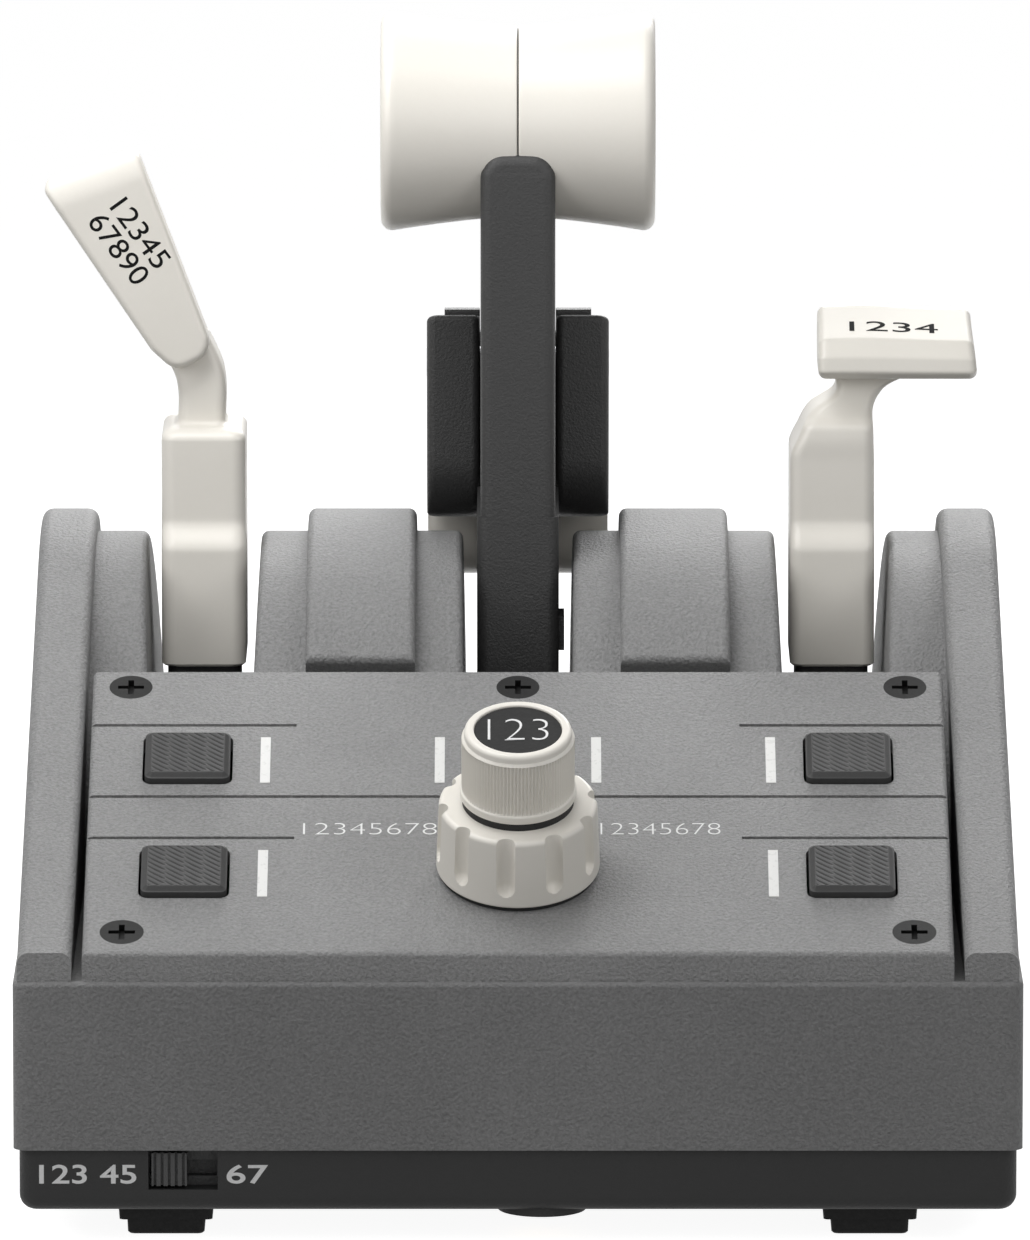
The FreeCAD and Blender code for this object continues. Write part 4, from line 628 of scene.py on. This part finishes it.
def select_knob_form():
    """Flange, ribbed wall, rounded rim and the seat of the disc, as one turned profile."""
    outline = rounded_line(
        [(KNOB_BORE_R, KNOB_LOW), (FLANGE_R, KNOB_LOW), (FLANGE_R, KNOB_LOW + 1.3), (KNOB_R, KNOB_LOW + 1.5),
         (KNOB_R, KNOB_HIGH - 1.7), (KNOB_RIM_R, KNOB_HIGH - 1.3), (KNOB_RIM_R, KNOB_HIGH),
         (DISC_R + 0.05, KNOB_HIGH), (DISC_R, DISC_TOP - 0.5), (KNOB_BORE_R, DISC_TOP - 0.5)],
        [0, 0.3, 0.3, 0.05, 0.05, 0.1, 0.7, 0.3, 0, 0], 6)
    levels = np.linspace(RIBS_LOW + RIB_RUN_OUT, RIBS_HIGH - RIB_RUN_OUT, 8)
    wall = np.stack([np.full(8, KNOB_R), levels], 1)
    before = outline[(np.arange(len(outline)) < len(outline) / 2) & (outline[:, 1] < KNOB_LOW + 1.6)]
    profile = np.concatenate([before, wall, outline[len(before):]])
    radius, height = profile[:, :1], profile[:, 1:]
    angle = full_turn(8 * RIBS)
    rise = ease(height, RIBS_LOW, RIBS_LOW + RIB_RUN_OUT)
    fall = 1 - ease(height, RIBS_HIGH - RIB_RUN_OUT, RIBS_HIGH)
    outside = radius > KNOB_R - 0.1
    ripple = RIB_DEPTH * (0.5 - 0.5 * np.cos(RIBS * angle)) * rise * fall * outside
    return turned(radius - ripple, height, angle)


fit_out(surface("select_knob_form", select_knob_form(), CONSOLE, SELECTOR), "knob", "ivory", "select_knob")

# %% [markdown]
# ## Disc and working gaps
# A rubber disc, slightly crowned, is pressed into the knob's top. Under the knob and under the dial, black
# rings paint the shade of the working gaps, since soft light would brighten a real gap.

# %% Knob disc and painted shade rings
def ring_form(outer, low, high, inner=3.2, radii=(0, 0.05, 0.05, 0), steps=3, crown=0.0):
    """Flat ring or disc from low to high, with its outer edges rounded and its middle raised by crown."""
    line = rounded_line([(inner, low), (outer, low), (outer, high), (inner, high + crown)], radii, steps)
    return turned(line[:, :1], line[:, 1:], full_turn(128))


disc = ring_form(DISC_R, DISC_TOP - 1.0, DISC_TOP, 0.5, (0, 0.1, 0.2, 0), 5, 0.06)
fit_out(surface("knob_disc_form", disc, CONSOLE, SELECTOR), "knob", "rubber", "knob_disc")
# Black rings: painted shade in the gaps under the knob and under the dial.
knob_gap_shade = ring_form(FLANGE_R - 0.35, DIAL_HIGH - 0.2, KNOB_LOW + 0.15)
fit_out(surface("knob_gap_shade_ring", knob_gap_shade, CONSOLE, SELECTOR), "dial", "black_shell")
dial_foot_shade = ring_form(DIAL_R - 0.45, 0.1, DIAL_FOOT + 0.2)
fit_out(surface("dial_foot_shade_ring", dial_foot_shade, CONSOLE, SELECTOR), "dial", "black_shell")

# %% [markdown]
# ## Push buttons
# Four square keys with a bevelled border and a face cut with a slanting hatch, so that a finger feels
# them. A texture would look flat at a low angle, so the hatch is geometry: a square grid whose height is
# a formula. Its border falls away over the bevel, its middle carries the grooves, its corners are drawn
# in to a radius, and a skirt of dark rubber runs from it down through the panel. The rubber is darker than
# the key and also paints the shade in the gap round it.

# %% Push buttons
KEY_HALF = 6.85
KEY_CORNER = 1.2
KEY_PROUD = 1.6
KEY_BEVEL = 0.75
KEY_BEVEL_W = 1.3
KEY_SUNK = 0.08
KEY_LOW = -2.8
KEY_FACE = 5.9
KEY_POINTS = 181
HATCH_CELL = (3.0, 2.66)
HATCH_DEPTH = 0.3
HATCH_GROOVES = 2
HATCH_SHIFT = 0.5


def hatch(x, y):
    """Slanting grooves that run out at their column's sides. The next column is shifted by half a groove."""
    column = np.floor(x / HATCH_CELL[0])
    along = x / HATCH_CELL[0] - column
    phase = HATCH_GROOVES * (y / HATCH_CELL[1] + along) + HATCH_SHIFT * column
    groove = np.cos(2 * math.pi * phase)
    fade = np.sin(math.pi * along) ** 0.6
    edge = ease(KEY_FACE - np.maximum(abs(x), abs(y)), 0.0, 0.35)
    return -HATCH_DEPTH * np.maximum(groove, 0) ** 2 * fade * edge


def key_top():
    """Face of a key as a square grid: its border falls away over the bevel, its middle carries the hatch."""
    along = np.linspace(-KEY_HALF, KEY_HALF, KEY_POINTS)
    x, y = np.meshgrid(along, along)
    far = np.maximum(abs(x), abs(y)) / KEY_HALF
    near = np.minimum(abs(x), abs(y)) / KEY_HALF
    corner_cut = KEY_CORNER / KEY_HALF * (1 - math.sqrt(0.5))
    draw_in = 1 - corner_cut * np.clip((near - 0.8) / 0.2, 0, 1) ** 2 * far ** 8
    x, y = x * draw_in, y * draw_in
    past = np.maximum(0, np.stack([abs(x), abs(y)]) - KEY_HALF + KEY_CORNER)
    inside = np.minimum(KEY_HALF - np.maximum(abs(x), abs(y)), KEY_CORNER - np.hypot(*past))
    rim = KEY_BEVEL * (1 - ease(inside, 0.0, KEY_BEVEL_W)) ** 1.2
    sunk = KEY_SUNK * ease(inside, 1.0, KEY_BEVEL_W)
    return np.stack([x, y, KEY_PROUD - rim - sunk + hatch(x, y)], -1)


def key_form(name, centre):
    """Key: the top's grid, and a skirt from its border down through the panel, in a second material."""
    top = key_top().reshape(-1, 3)
    index = np.arange(len(top)).reshape(KEY_POINTS, KEY_POINTS)
    quads = np.stack([index[:-1, :-1], index[:-1, 1:], index[1:, 1:], index[1:, :-1]], -1).reshape(-1, 4)
    border = np.r_[index[0, :-1], index[:-1, -1], index[-1, :0:-1], index[:0:-1, 0]]
    skirt = top[border] * [1, 1, 0] + [0, 0, KEY_LOW]
    points = np.concatenate([top, skirt, [[0, 0, KEY_LOW]]])
    low = len(top) + np.arange(len(border))
    walls = np.stack([low, np.roll(low, -1), np.roll(border, -1), border], -1)
    base = np.stack([np.roll(low, -1), low, np.full(len(low), len(points) - 1)], -1)
    placed = (points + centre) @ CONSOLE + SELECTOR
    key = new_piece(name, placed, quads.tolist() + walls.tolist() + base.tolist())
    is_skirt = np.arange(len(key.data.polygons)) >= len(quads)
    key.data.polygons.foreach_set("material_index", is_skirt.astype(np.int32))
    return key


finish["key"] = moulded("satin black ABS key", "#313131", "#272727", 0.50, 0.35, 0.02, 0.6, 0.35)
for name in sorted(body for body in frame["bodies"] if body.startswith("button_")):
    low, high = console_box(name)
    key = key_form(name + "_form", (low + high) / 2 * [1, 1, 0])
    key.data.materials.append(finish["key"])
    # The skirt's rubber, darker than the key, also paints the shade in the gap round the key.
    key.data.materials.append(finish["rubber"])
    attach(key, name)
    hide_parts(name)

# %% [markdown]
# ## Side levers
# The two outer levers wear ivory sleeves: a square tube that steps back half way up, rounds over at its
# top and runs on as a thin neck. Joined boxes would show seams. One skin does it all, a stack of rounded
# rectangles: each row has its own left, right, front and back limits and its own corner radius.

# %% Stacks of rounded rectangles
CORNER_STEPS = 7


def stack(height, left, right, front, back, corner):
    """Rows of rounded rectangles: four arcs a row, with their centres one radius inside the limits."""
    rows = np.broadcast_arrays(height, left, right, front, back, corner)
    height, left, right, front, back, corner = [row.astype(float)[:, None] for row in rows]
    corner = np.minimum(corner, 0.499 * np.minimum(right - left, back - front))
    quarter = np.linspace(0, math.pi / 2, CORNER_STEPS)
    angle = np.concatenate([quarter + i * math.pi / 2 for i in range(4)])[None, :]
    east = np.repeat([1, 0, 0, 1], CORNER_STEPS)[None, :]
    north = np.repeat([1, 1, 0, 0], CORNER_STEPS)[None, :]
    x = np.where(east, right - corner, left + corner) + corner * np.cos(angle)
    y = np.where(north, back - corner, front + corner) + corner * np.sin(angle)
    return np.stack([x, y, height + 0 * x], -1)


SLEEVE_LOW, SLEEVE_HIGH = 36.3, 75.6
SLEEVE_HALF = 6.95
SLEEVE_FRONT, SLEEVE_BACK = -12.0, 11.0
STEP_LOW, STEP_HIGH, STEP_DEEP = 55.6, 60.4, 2.4
FOOT_DRAW = 0.4
TUBE_ROWS = np.r_[SLEEVE_LOW, SLEEVE_LOW + FOOT_DRAW, 45.0, np.linspace(54.5, 61.5, 15)]
quarter_turn = np.linspace(0, math.pi / 2, 9)
closing, opening = 1 - np.cos(quarter_turn), 1 - np.sin(quarter_turn)


def tube_front(height):
    """Front face of a sleeve, which steps back half way up."""
    return SLEEVE_FRONT + STEP_DEEP * ease(height, STEP_LOW, STEP_HIGH)


print("sleeves from", SLEEVE_LOW, "to", SLEEVE_HIGH, "mm above the axle")

# %% [markdown]
# ## Speed-brake sleeve
# Its neck leaves the tube over a small fillet and leans to the left. A deform could bend a straight neck,
# but two curves through a few points set its lean and its width.

# %% Speed-brake sleeve
SHOULDER_R, SHOULDER_FRONT, SHOULDER_BACK = 2.0, 1.5, 2.2
NECK_ROWS = np.linspace(78.6, 90.5, 22)
NECK_FILLET = 0.9
NECK_LEFT = [(77, -4.3), (80.5, -4.2), (83.5, -4.7), (86.5, -6.2), (92, -9.0)]
NECK_RIGHT = [(77, 3.6), (81.5, 3.7), (85.0, 3.2), (88.0, 2.0), (92, 0.0)]
NECK_FRONT, NECK_BACK = -5.0, 5.2
TUBE_CORNER, NECK_CORNER = 2.3, 1.9


def speed_brake_sleeve_form():
    """Square tube, rounded shoulders, a small fillet, and a neck that leans to the left."""
    tube = np.r_[TUBE_ROWS, 70.0]
    foot = np.r_[FOOT_DRAW, np.zeros(len(tube) - 1)]
    over = SLEEVE_HIGH - SHOULDER_R * opening
    inset = SHOULDER_R * closing
    neck = np.r_[SLEEVE_HIGH + NECK_FILLET * closing, NECK_ROWS]
    grow = np.r_[NECK_FILLET * opening, np.zeros(len(NECK_ROWS))]
    left = np.r_[-SLEEVE_HALF + foot, -SLEEVE_HALF + inset, through(neck, NECK_LEFT) - grow]
    right = np.r_[SLEEVE_HALF - foot, SLEEVE_HALF - inset, through(neck, NECK_RIGHT) + grow]
    front = np.r_[tube_front(tube) + foot, tube_front(over) + SHOULDER_FRONT * inset,
                  NECK_FRONT + 0.5 * ease(neck, 78, 88) - grow]
    back = np.r_[SLEEVE_BACK - foot, SLEEVE_BACK - SHOULDER_BACK * inset, NECK_BACK + grow]
    corner = np.r_[np.full(len(tube) + len(over), TUBE_CORNER), np.full(len(neck), NECK_CORNER)]
    return stack(np.r_[tube, over, neck], left, right, front, back, corner)


BRAKE = np.array([lever_x("speed_brake_hub"), PIVOT[1], PIVOT[2]])
fit_out(surface("speed_brake_sleeve_form", speed_brake_sleeve_form(), origin=BRAKE), "speed_brake", "ivory",
        "speed_brake_sleeve")

# %% [markdown]
# ## Flap sleeve
# Its left shoulder sweeps up in one curve and its right side spreads under the handle. A loft between
# drawn sections would do too. Four short lists of points say the same and are easy to adjust.

# %% Flap sleeve
SWEEP_LEFT = [(70, -6.95), (71.5, -6.8), (74.1, -5.67), (78.0, -3.56), (80.9, 0.3), (84.6, 0.3)]
SWEEP_RIGHT = [(70, 6.95), (75, 6.8), (78.6, 6.8), (80.6, 7.7), (82.2, 9.2), (83.4, 11.6), (84.1, 13.0),
               (84.6, 13.6)]
SWEEP_FRONT = [(70, -9.6), (74.6, -9.6), (76.2, -9.1), (77.2, -7.7), (79.0, -6.4), (82, -5.6), (84.6, -5.4)]
SWEEP_BACK = [(70, 11.0), (74, 9.4), (77, 7.6), (80, 6.2), (84.6, 5.0)]


def flap_sleeve_form():
    """Square tube whose left shoulder sweeps up into a neck that spreads right under the handle."""
    tube = np.r_[TUBE_ROWS, 66.0]
    upper = np.linspace(SWEEP_LEFT[0][0], SWEEP_LEFT[-1][0], 44)
    height = np.r_[tube, upper]
    foot = np.r_[FOOT_DRAW, np.zeros(len(height) - 1)]
    left = np.r_[np.full(len(tube), -SLEEVE_HALF), through(upper, SWEEP_LEFT)]
    right = np.r_[np.full(len(tube), SLEEVE_HALF), through(upper, SWEEP_RIGHT)]
    front = np.r_[tube_front(tube), through(upper, SWEEP_FRONT)]
    back = np.r_[np.full(len(tube), SLEEVE_BACK), through(upper, SWEEP_BACK)]
    return stack(height, left + foot, right - foot, front + foot, back - foot, NECK_CORNER)


FLAP = np.array([lever_x("flap_hub"), PIVOT[1], PIVOT[2]])
fit_out(surface("flap_sleeve_form", flap_sleeve_form(), origin=FLAP), "flap", "ivory", "flap_sleeve")

# %% [markdown]
# ## Throttle stem
# The stem's upper blade is a touch wider than its core. A bevelled box has one radius everywhere. The same
# kind of stack gives the top its round shoulders and a low crown between them.

# %% Stem blade
BLADE_HALF = 6.15
BLADE_DEPTH = 16.25
BLADE_LOW, BLADE_TOP = 61.0, 122.5
BLADE_SHOULDER_R = 3.2
BLADE_CROWN = 0.8
BLADE_CORNER = 1.9


def blade_form():
    """Straight blade that closes at its top over round shoulders and a low crown."""
    shoulder = BLADE_TOP - BLADE_CROWN - BLADE_SHOULDER_R
    rise = shoulder + BLADE_SHOULDER_R * np.sin(quarter_turn)[1:]
    inset = np.r_[np.zeros(10), BLADE_SHOULDER_R * closing[1:]]
    height = np.r_[np.linspace(BLADE_LOW, shoulder, 10), rise, BLADE_TOP - 0.45, BLADE_TOP - 0.15, BLADE_TOP]
    half = np.r_[BLADE_HALF - inset, BLADE_HALF - 4.2, BLADE_HALF - 5.0, 0.4]
    depth = np.r_[BLADE_DEPTH - 0.35 * inset, BLADE_DEPTH - 1.3, BLADE_DEPTH - 1.5, BLADE_DEPTH - 1.8]
    return stack(height, -half, half, -depth, depth, BLADE_CORNER)


fit_out(surface("throttle_blade", blade_form(), origin=PIVOT), "throttle", "black_part")

# %% [markdown]
# ## Reverser block
# This black block straddles the stem and is lifted for reverse thrust: two cheeks whose fronts curve under
# at the foot, and a humped back. Stacks that overlap are easier to read than one sculpted mesh.

# %% Reverser block
CHEEK_INNER, CHEEK_OUTER = 6.3, 15.15
CHEEK_FRONT, CHEEK_BACK = 14.0, 29.0
CHEEK_LOW, CHEEK_TOP = 55.7, 91.3
CHEEK_EDGE, CHEEK_CORNER = 1.2, 1.4
CHEEK_ROWS = np.linspace(CHEEK_LOW + 1.6, CHEEK_TOP - 1.6, 30)
UNDERCUT_TALL, UNDERCUT_DEEP = 11.0, 8.0
FALL_START, TOP_FALL = 76.0, 0.36
BACK_LAP, BACK_CORNER = 0.6, 1.5
HUMP = [(55.7, 37.0), (59.5, 40.3), (63.8, 42.8), (70.0, 40.9), (79.7, 37.0), (85.4, 31.4), (87.0, 30.4)]
RIB_OUTER = 12.2


def cheek_form(side):
    """Upright block: its front curves back at the foot and its top falls away to the back."""
    height = np.r_[CHEEK_LOW + CHEEK_EDGE * closing, CHEEK_ROWS, CHEEK_TOP - CHEEK_EDGE * opening]
    inset = np.r_[CHEEK_EDGE * opening, np.zeros(len(CHEEK_ROWS)), CHEEK_EDGE * closing]
    rise = np.clip(1 - (height - CHEEK_LOW) / UNDERCUT_TALL, 0, 1)
    under = UNDERCUT_DEEP * (1 - np.sqrt(1 - rise ** 2))
    near, far = CHEEK_INNER, CHEEK_OUTER - inset
    left, right = (near, far) if side > 0 else (-far, -near)
    grid = stack(height, left, right, CHEEK_FRONT + under + inset, CHEEK_BACK, CHEEK_CORNER)
    grid[..., 2] -= TOP_FALL * (grid[..., 1] - CHEEK_FRONT) * ease(grid[..., 2], FALL_START, CHEEK_TOP)
    return grid


def reverser_back():
    """Rear of the block, from cheek to cheek: a hump that is deepest a quarter of the way up."""
    height = np.r_[CHEEK_LOW, CHEEK_LOW + 0.6, np.linspace(57.5, 84.0, 24), 85.4, 86.0]
    inset = np.r_[1.0, 0.2, np.zeros(24), 0.4, 1.4]
    return stack(height, -CHEEK_OUTER + inset, CHEEK_OUTER - inset, CHEEK_BACK - BACK_LAP,
                 through(height, HUMP) - inset * 0.5, BACK_CORNER)


def rib_form(side):
    """Low rib on a cheek's top, with its front edge broken."""
    left, right = sorted((side * CHEEK_INNER, side * RIB_OUTER))
    return stack(np.array([84.0, 91.4, 91.7]), left, right, np.array([15.5, 15.5, 15.8]), 18.0, 0.3)


fit_out(surface("reverser_block_form", reverser_back(), origin=PIVOT), "reverser", "black_part",
        "reverser_block")
for side, name in ((-1, "left"), (1, "right")):
    fit_out(surface("reverser_cheek_" + name, cheek_form(side), origin=PIVOT), "reverser", "black_part")
    fit_out(surface("reverser_rib_" + name, rib_form(side), origin=PIVOT), "reverser", "black_part")

# %% [markdown]
# ## Speed-brake paddle
# A flat, flared paddle stands off the neck, leaning left. Its face rolls back near the top, which catches
# the light, and a bevelled extrusion couldn't do that. So its outline is carried inwards ring by ring:
# the first rings turn over the rounded edge, the rest shrink to the middle.

# %% Speed-brake paddle
PADDLE_FRONT, PADDLE_BACK = -8.5, -1.5
PADDLE_EDGE = 1.2
PADDLE_OUTLINE = [(-26.9, 116.0), (-10.9, 121.9), (1.9, 88.2), (-4.6, 84.9), (-8.6, 88.6)]
PADDLE_RADII = [1.6, 1.6, 3.6, 3.4, 4.6]
PADDLE_MIDDLE = (-8.5, 103.0)
ROLL_TALL, ROLL_DEEP = 5.0, 1.5


def even_outline(points, radii, count):
    """Closed rounded outline with its points spread evenly along its length."""
    line = rounded_line(points, radii, 10, closed=True)
    line = np.vstack([line, line[:1]])
    run = np.r_[0, np.cumsum(np.linalg.norm(np.diff(line, axis=0), axis=1))]
    at = np.linspace(0, run[-1], count, endpoint=False)
    return np.stack([np.interp(at, run, line[:, 0]), np.interp(at, run, line[:, 1])], 1)


def inward(outline):
    """Unit normals of a closed outline, pointing to its inside."""
    ahead = np.roll(outline, -1, 0) - np.roll(outline, 1, 0)
    side = np.stack([-ahead[:, 1], ahead[:, 0]], 1) / np.linalg.norm(ahead, axis=1, keepdims=True)
    area = (outline[:, 0] * np.roll(outline[:, 1], -1) - outline[:, 1] * np.roll(outline[:, 0], -1)).sum()
    return side * np.sign(area)


def paddle_form():
    """Rings of the paddle, from the middle of its front over the edges to the middle of its back."""
    outline = even_outline(PADDLE_OUTLINE, PADDLE_RADII, 220)
    normal = inward(outline)
    thick = PADDLE_BACK - PADDLE_FRONT
    turn = np.linspace(0, math.pi / 2, 8)
    inner = outline + normal * PADDLE_EDGE
    shrink = np.linspace(0.0, 0.96, 42)[1:]
    face = [inner + (PADDLE_MIDDLE - inner) * share for share in shrink[::-1]]
    over = [outline + normal * PADDLE_EDGE * (1 - math.sin(a)) for a in turn]
    plan = np.array(face + over + over[::-1] + face[::-1])
    depth = np.r_[np.zeros(len(face)), PADDLE_EDGE * (1 - np.cos(turn)),
                  thick - PADDLE_EDGE * (1 - np.cos(turn[::-1])), np.full(len(face), thick)]
    y = PADDLE_FRONT + depth[:, None] + 0 * plan[..., 0]
    start, end = np.array(PADDLE_OUTLINE[:2])
    along = (end - start) / np.linalg.norm(end - start)
    to_top = (plan[..., 0] - start[0]) * along[1] - (plan[..., 1] - start[1]) * along[0]
    roll = ROLL_DEEP * np.clip(1 - to_top / ROLL_TALL, 0, 1) ** 2
    y = np.where(depth[:, None] < thick / 2, y + roll, y)
    return np.stack([plan[..., 0], y, plan[..., 1]], -1)


fit_out(surface("speed_brake_paddle_form", paddle_form(), origin=BRAKE), "speed_brake", "ivory",
        "speed_brake_paddle")

# %% [markdown]
# ## Flap handle
# The flap lever ends in a cross bar with the section of a stubby wing: a sloping top, a steeper band
# and an undercut front. A plain extrusion looks lifeless, so the section swells a little towards the left
# as it is carried along the bar, and draws in over a rounded edge at both ends.

# %% Flap handle
HANDLE_LEFT, HANDLE_RIGHT = -2.4, 23.8
HANDLE_EDGE = 1.3
HANDLE_UNDER = 84.0
HANDLE_SECTION = [(2.2, 94.7), (-8.8, 90.5), (-11.0, 87.8), (-11.4, 85.3), (-9.8, 84.1), (3.2, HANDLE_UNDER),
                  (6.2, 89.6)]
HANDLE_RADII = [1.6, 0.8, 0.8, 0.7, 0.9, 1.6, 2.0]
HANDLE_MIDDLE = (-2.0, 88.6)
FULLNESS = 0.035
END_LEAN = 0.9


def swell(x, height):
    """Heights above the handle's flat underside, made a little fuller at its left third."""
    fuller = 1 + FULLNESS * (np.exp(-((x - 5.0) / 6.0) ** 2) - ease(x, 8.0, 24.0))
    return (height - HANDLE_UNDER) * fuller + HANDLE_UNDER


def handle_form():
    """Wing section (back and forth, up) swept along X and drawn in at each rounded end."""
    section = even_outline(HANDLE_SECTION, HANDLE_RADII, 168)
    normal = inward(section)
    turn = np.linspace(0, math.pi / 2, 8)
    ends = HANDLE_EDGE * (1 - np.cos(turn))
    inner = section + normal * HANDLE_EDGE
    cap = [inner + (HANDLE_MIDDLE - inner) * share for share in np.linspace(0.92, 0.0, 7)]
    edge = [section + normal * HANDLE_EDGE * (1 - math.sin(a)) for a in turn]
    along = np.linspace(HANDLE_LEFT + HANDLE_EDGE, HANDLE_RIGHT - HANDLE_EDGE, 24)[1:-1]
    plan = np.array(cap + edge + [section] * len(along) + edge[::-1] + cap[::-1])
    x = np.r_[np.full(len(cap), HANDLE_LEFT), HANDLE_LEFT + ends, along, HANDLE_RIGHT - ends[::-1],
              np.full(len(cap), HANDLE_RIGHT)]
    high = swell(x[:, None], plan[..., 1])
    lean = END_LEAN * ease(high, HANDLE_UNDER, 94.5) * (x[:, None] > 20)
    return np.stack([x[:, None] - lean, plan[..., 0], high], -1)


fit_out(surface("flap_handle_form", handle_form(), origin=FLAP), "flap", "ivory", "flap_handle")

# %% [markdown]
# ## Feet
# Four moulded rubber blocks, again drawn as stacks: a narrow sole, a broad collar under the tray, and top
# rows that draw in, so that each block sits inside its seat.

# %% Feet
FOOT_HALF = 7.7
FOOT_CORNER = 0.9
foot_far = np.array(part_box("rubber_feet")[1]) / MM
foot_profile = np.array([(0.0, 5.8), (0.3, 6.1), (2.4, 6.2), (2.55, 6.3), (2.6, 7.4), (5.45, 7.6), (5.5, 5.3),
                         (foot_far[2], 5.2)])
height, half = foot_profile.T
block = stack(height, -half, half, -half, half, FOOT_CORNER)
for number, (side, end) in enumerate(((-1, -1), (1, -1), (-1, 1), (1, 1)), 1):
    place = (side * (foot_far[0] - FOOT_HALF), end * (foot_far[1] - FOOT_HALF), 0.0)
    fit_out(surface("foot_form_%d" % number, block, origin=place), "case", "rubber", "rubber_feet")

# %% [markdown]
# ## Plain numerals
# The printed marks are plain numerals in pad-printing ink. An image could carry them, but letter meshes
# stay sharp close up. Each is a few hundredths of a millimetre thick and laid on its face by a matrix.

# %% Ink and numerals
finish["black_ink"] = moulded("black pad-printing ink", "#161616", "#101010", 0.7, 0.3, 0.004, 0.5, 0.1)
finish["white_ink"] = moulded("white pad-printing ink", "#F2F2F2", "#E8E8E8", 0.7, 0.3, 0.004, 0.5, 0.1)
INK_T = 0.04


def numerals(name, text, tall, wide, axes, origin, body, ink, weight=0.0, settle=None):
    """Text centred on origin, wide by tall millimetres in the plane of the first two axes.

    weight thickens its strokes, and settle moves the placed points on to a curved face."""
    curve = bpy.data.curves.new(name, "FONT")
    curve.body = text
    curve.offset = weight
    curve.extrude = 0.5
    curve.resolution_u = 6
    holder = in_scene(name + "_curve", curve)
    bpy.context.view_layer.update()
    mesh = bpy.data.meshes.new_from_object(holder.evaluated_get(bpy.context.evaluated_depsgraph_get()))
    bpy.data.objects.remove(holder)
    found = points_of(mesh)
    found[:, :2] -= (found[:, :2].min(0) + found[:, :2].max(0)) / 2
    flat = found * [wide / np.ptp(found[:, 0]), tall / np.ptp(found[:, 1]), INK_T]
    placed = flat @ axes + origin
    if settle:
        placed = settle(placed)
    mesh.vertices.foreach_set("co", (placed * MM).astype(np.float32).ravel())
    mesh.name = name
    mesh.materials.clear()
    mesh.materials.append(finish[ink])
    made = in_scene(name, mesh)
    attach(made, body)
    print(name, repr(text))


def on_handle(points):
    """Points on the handle's flat section, raised with its fuller left third."""
    local = points - FLAP
    return np.stack([points[:, 0], points[:, 1], swell(local[:, 0], local[:, 2]) + FLAP[2]], -1)


def facing(up, outward):
    """Matrix of a label's own axes: along the line, up the letters and out of the face."""
    up, outward = np.array(up, float), np.array(outward, float)
    return np.stack([np.cross(up, outward), up, outward])


SLANT = math.radians(54.0)
LINE_GAP = 2.2
PADDLE_PRINT = BRAKE + [-12.0, PADDLE_FRONT, 106.9]
reading = facing((math.sin(SLANT), 0, math.cos(SLANT)), (0, -1, 0))
for name, text, wide, line in (("upper", "12345", 12.8, 1), ("lower", "67890", 13.2, -1)):
    numerals("paddle_numerals_" + name, text, 3.5, wide, reading, PADDLE_PRINT + line * LINE_GAP * reading[1],
             "speed_brake", "black_ink")
HANDLE_PRINT_X, PRINT_SHARE = 10.1, 0.336
back, brow = np.array(HANDLE_SECTION[:2])
print_y, print_z = brow + (back - brow) * PRINT_SHARE
slope_y, slope_z = (back - brow) / np.linalg.norm(back - brow)
on_top = facing((0, slope_y, slope_z), (0, -slope_z, slope_y))
numerals("handle_numerals", "1234", 3.1, 14.6, on_top, FLAP + [HANDLE_PRINT_X, print_y, print_z + 0.03],
         "flap", "black_ink", 0.0, on_handle)
numerals("disc_numerals", "123", 6.3, 9.6, CONSOLE, SELECTOR + (DISC_TOP + 0.07) * OUTWARD, "knob",
         "white_ink", -0.025)

# %% Numerals on the case
CAPTION_UP = 11.7
for name, x, wide in (("caption_left", -23.7, 21.4), ("caption_right", 22.8, 19.2)):
    numerals(name, "12345678", 3.4, wide, CONSOLE, [x, CAPTION_UP, 0] @ CONSOLE + SELECTOR, "case",
             "white_ink", -0.022)
LABEL_UP = 7.3
tray_low = np.array(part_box("base_tray")[0]) / MM
upright = facing((0, 0, 1), (0, -1, 0))
for name, text, x, wide in (("left", "123 45", -68.2, 15.4), ("right", "67", -42.9, 6.6)):
    numerals("switch_label_" + name, text, 3.1, wide, upright, [x, tray_low[1], tray_low[2] + LABEL_UP],
             "case", "white_ink", 0.012)

# %% [markdown]
# ## View transform
# Colours are shown plainly, through the standard view transform.

bpy.context.scene.view_settings.view_transform = "Standard"
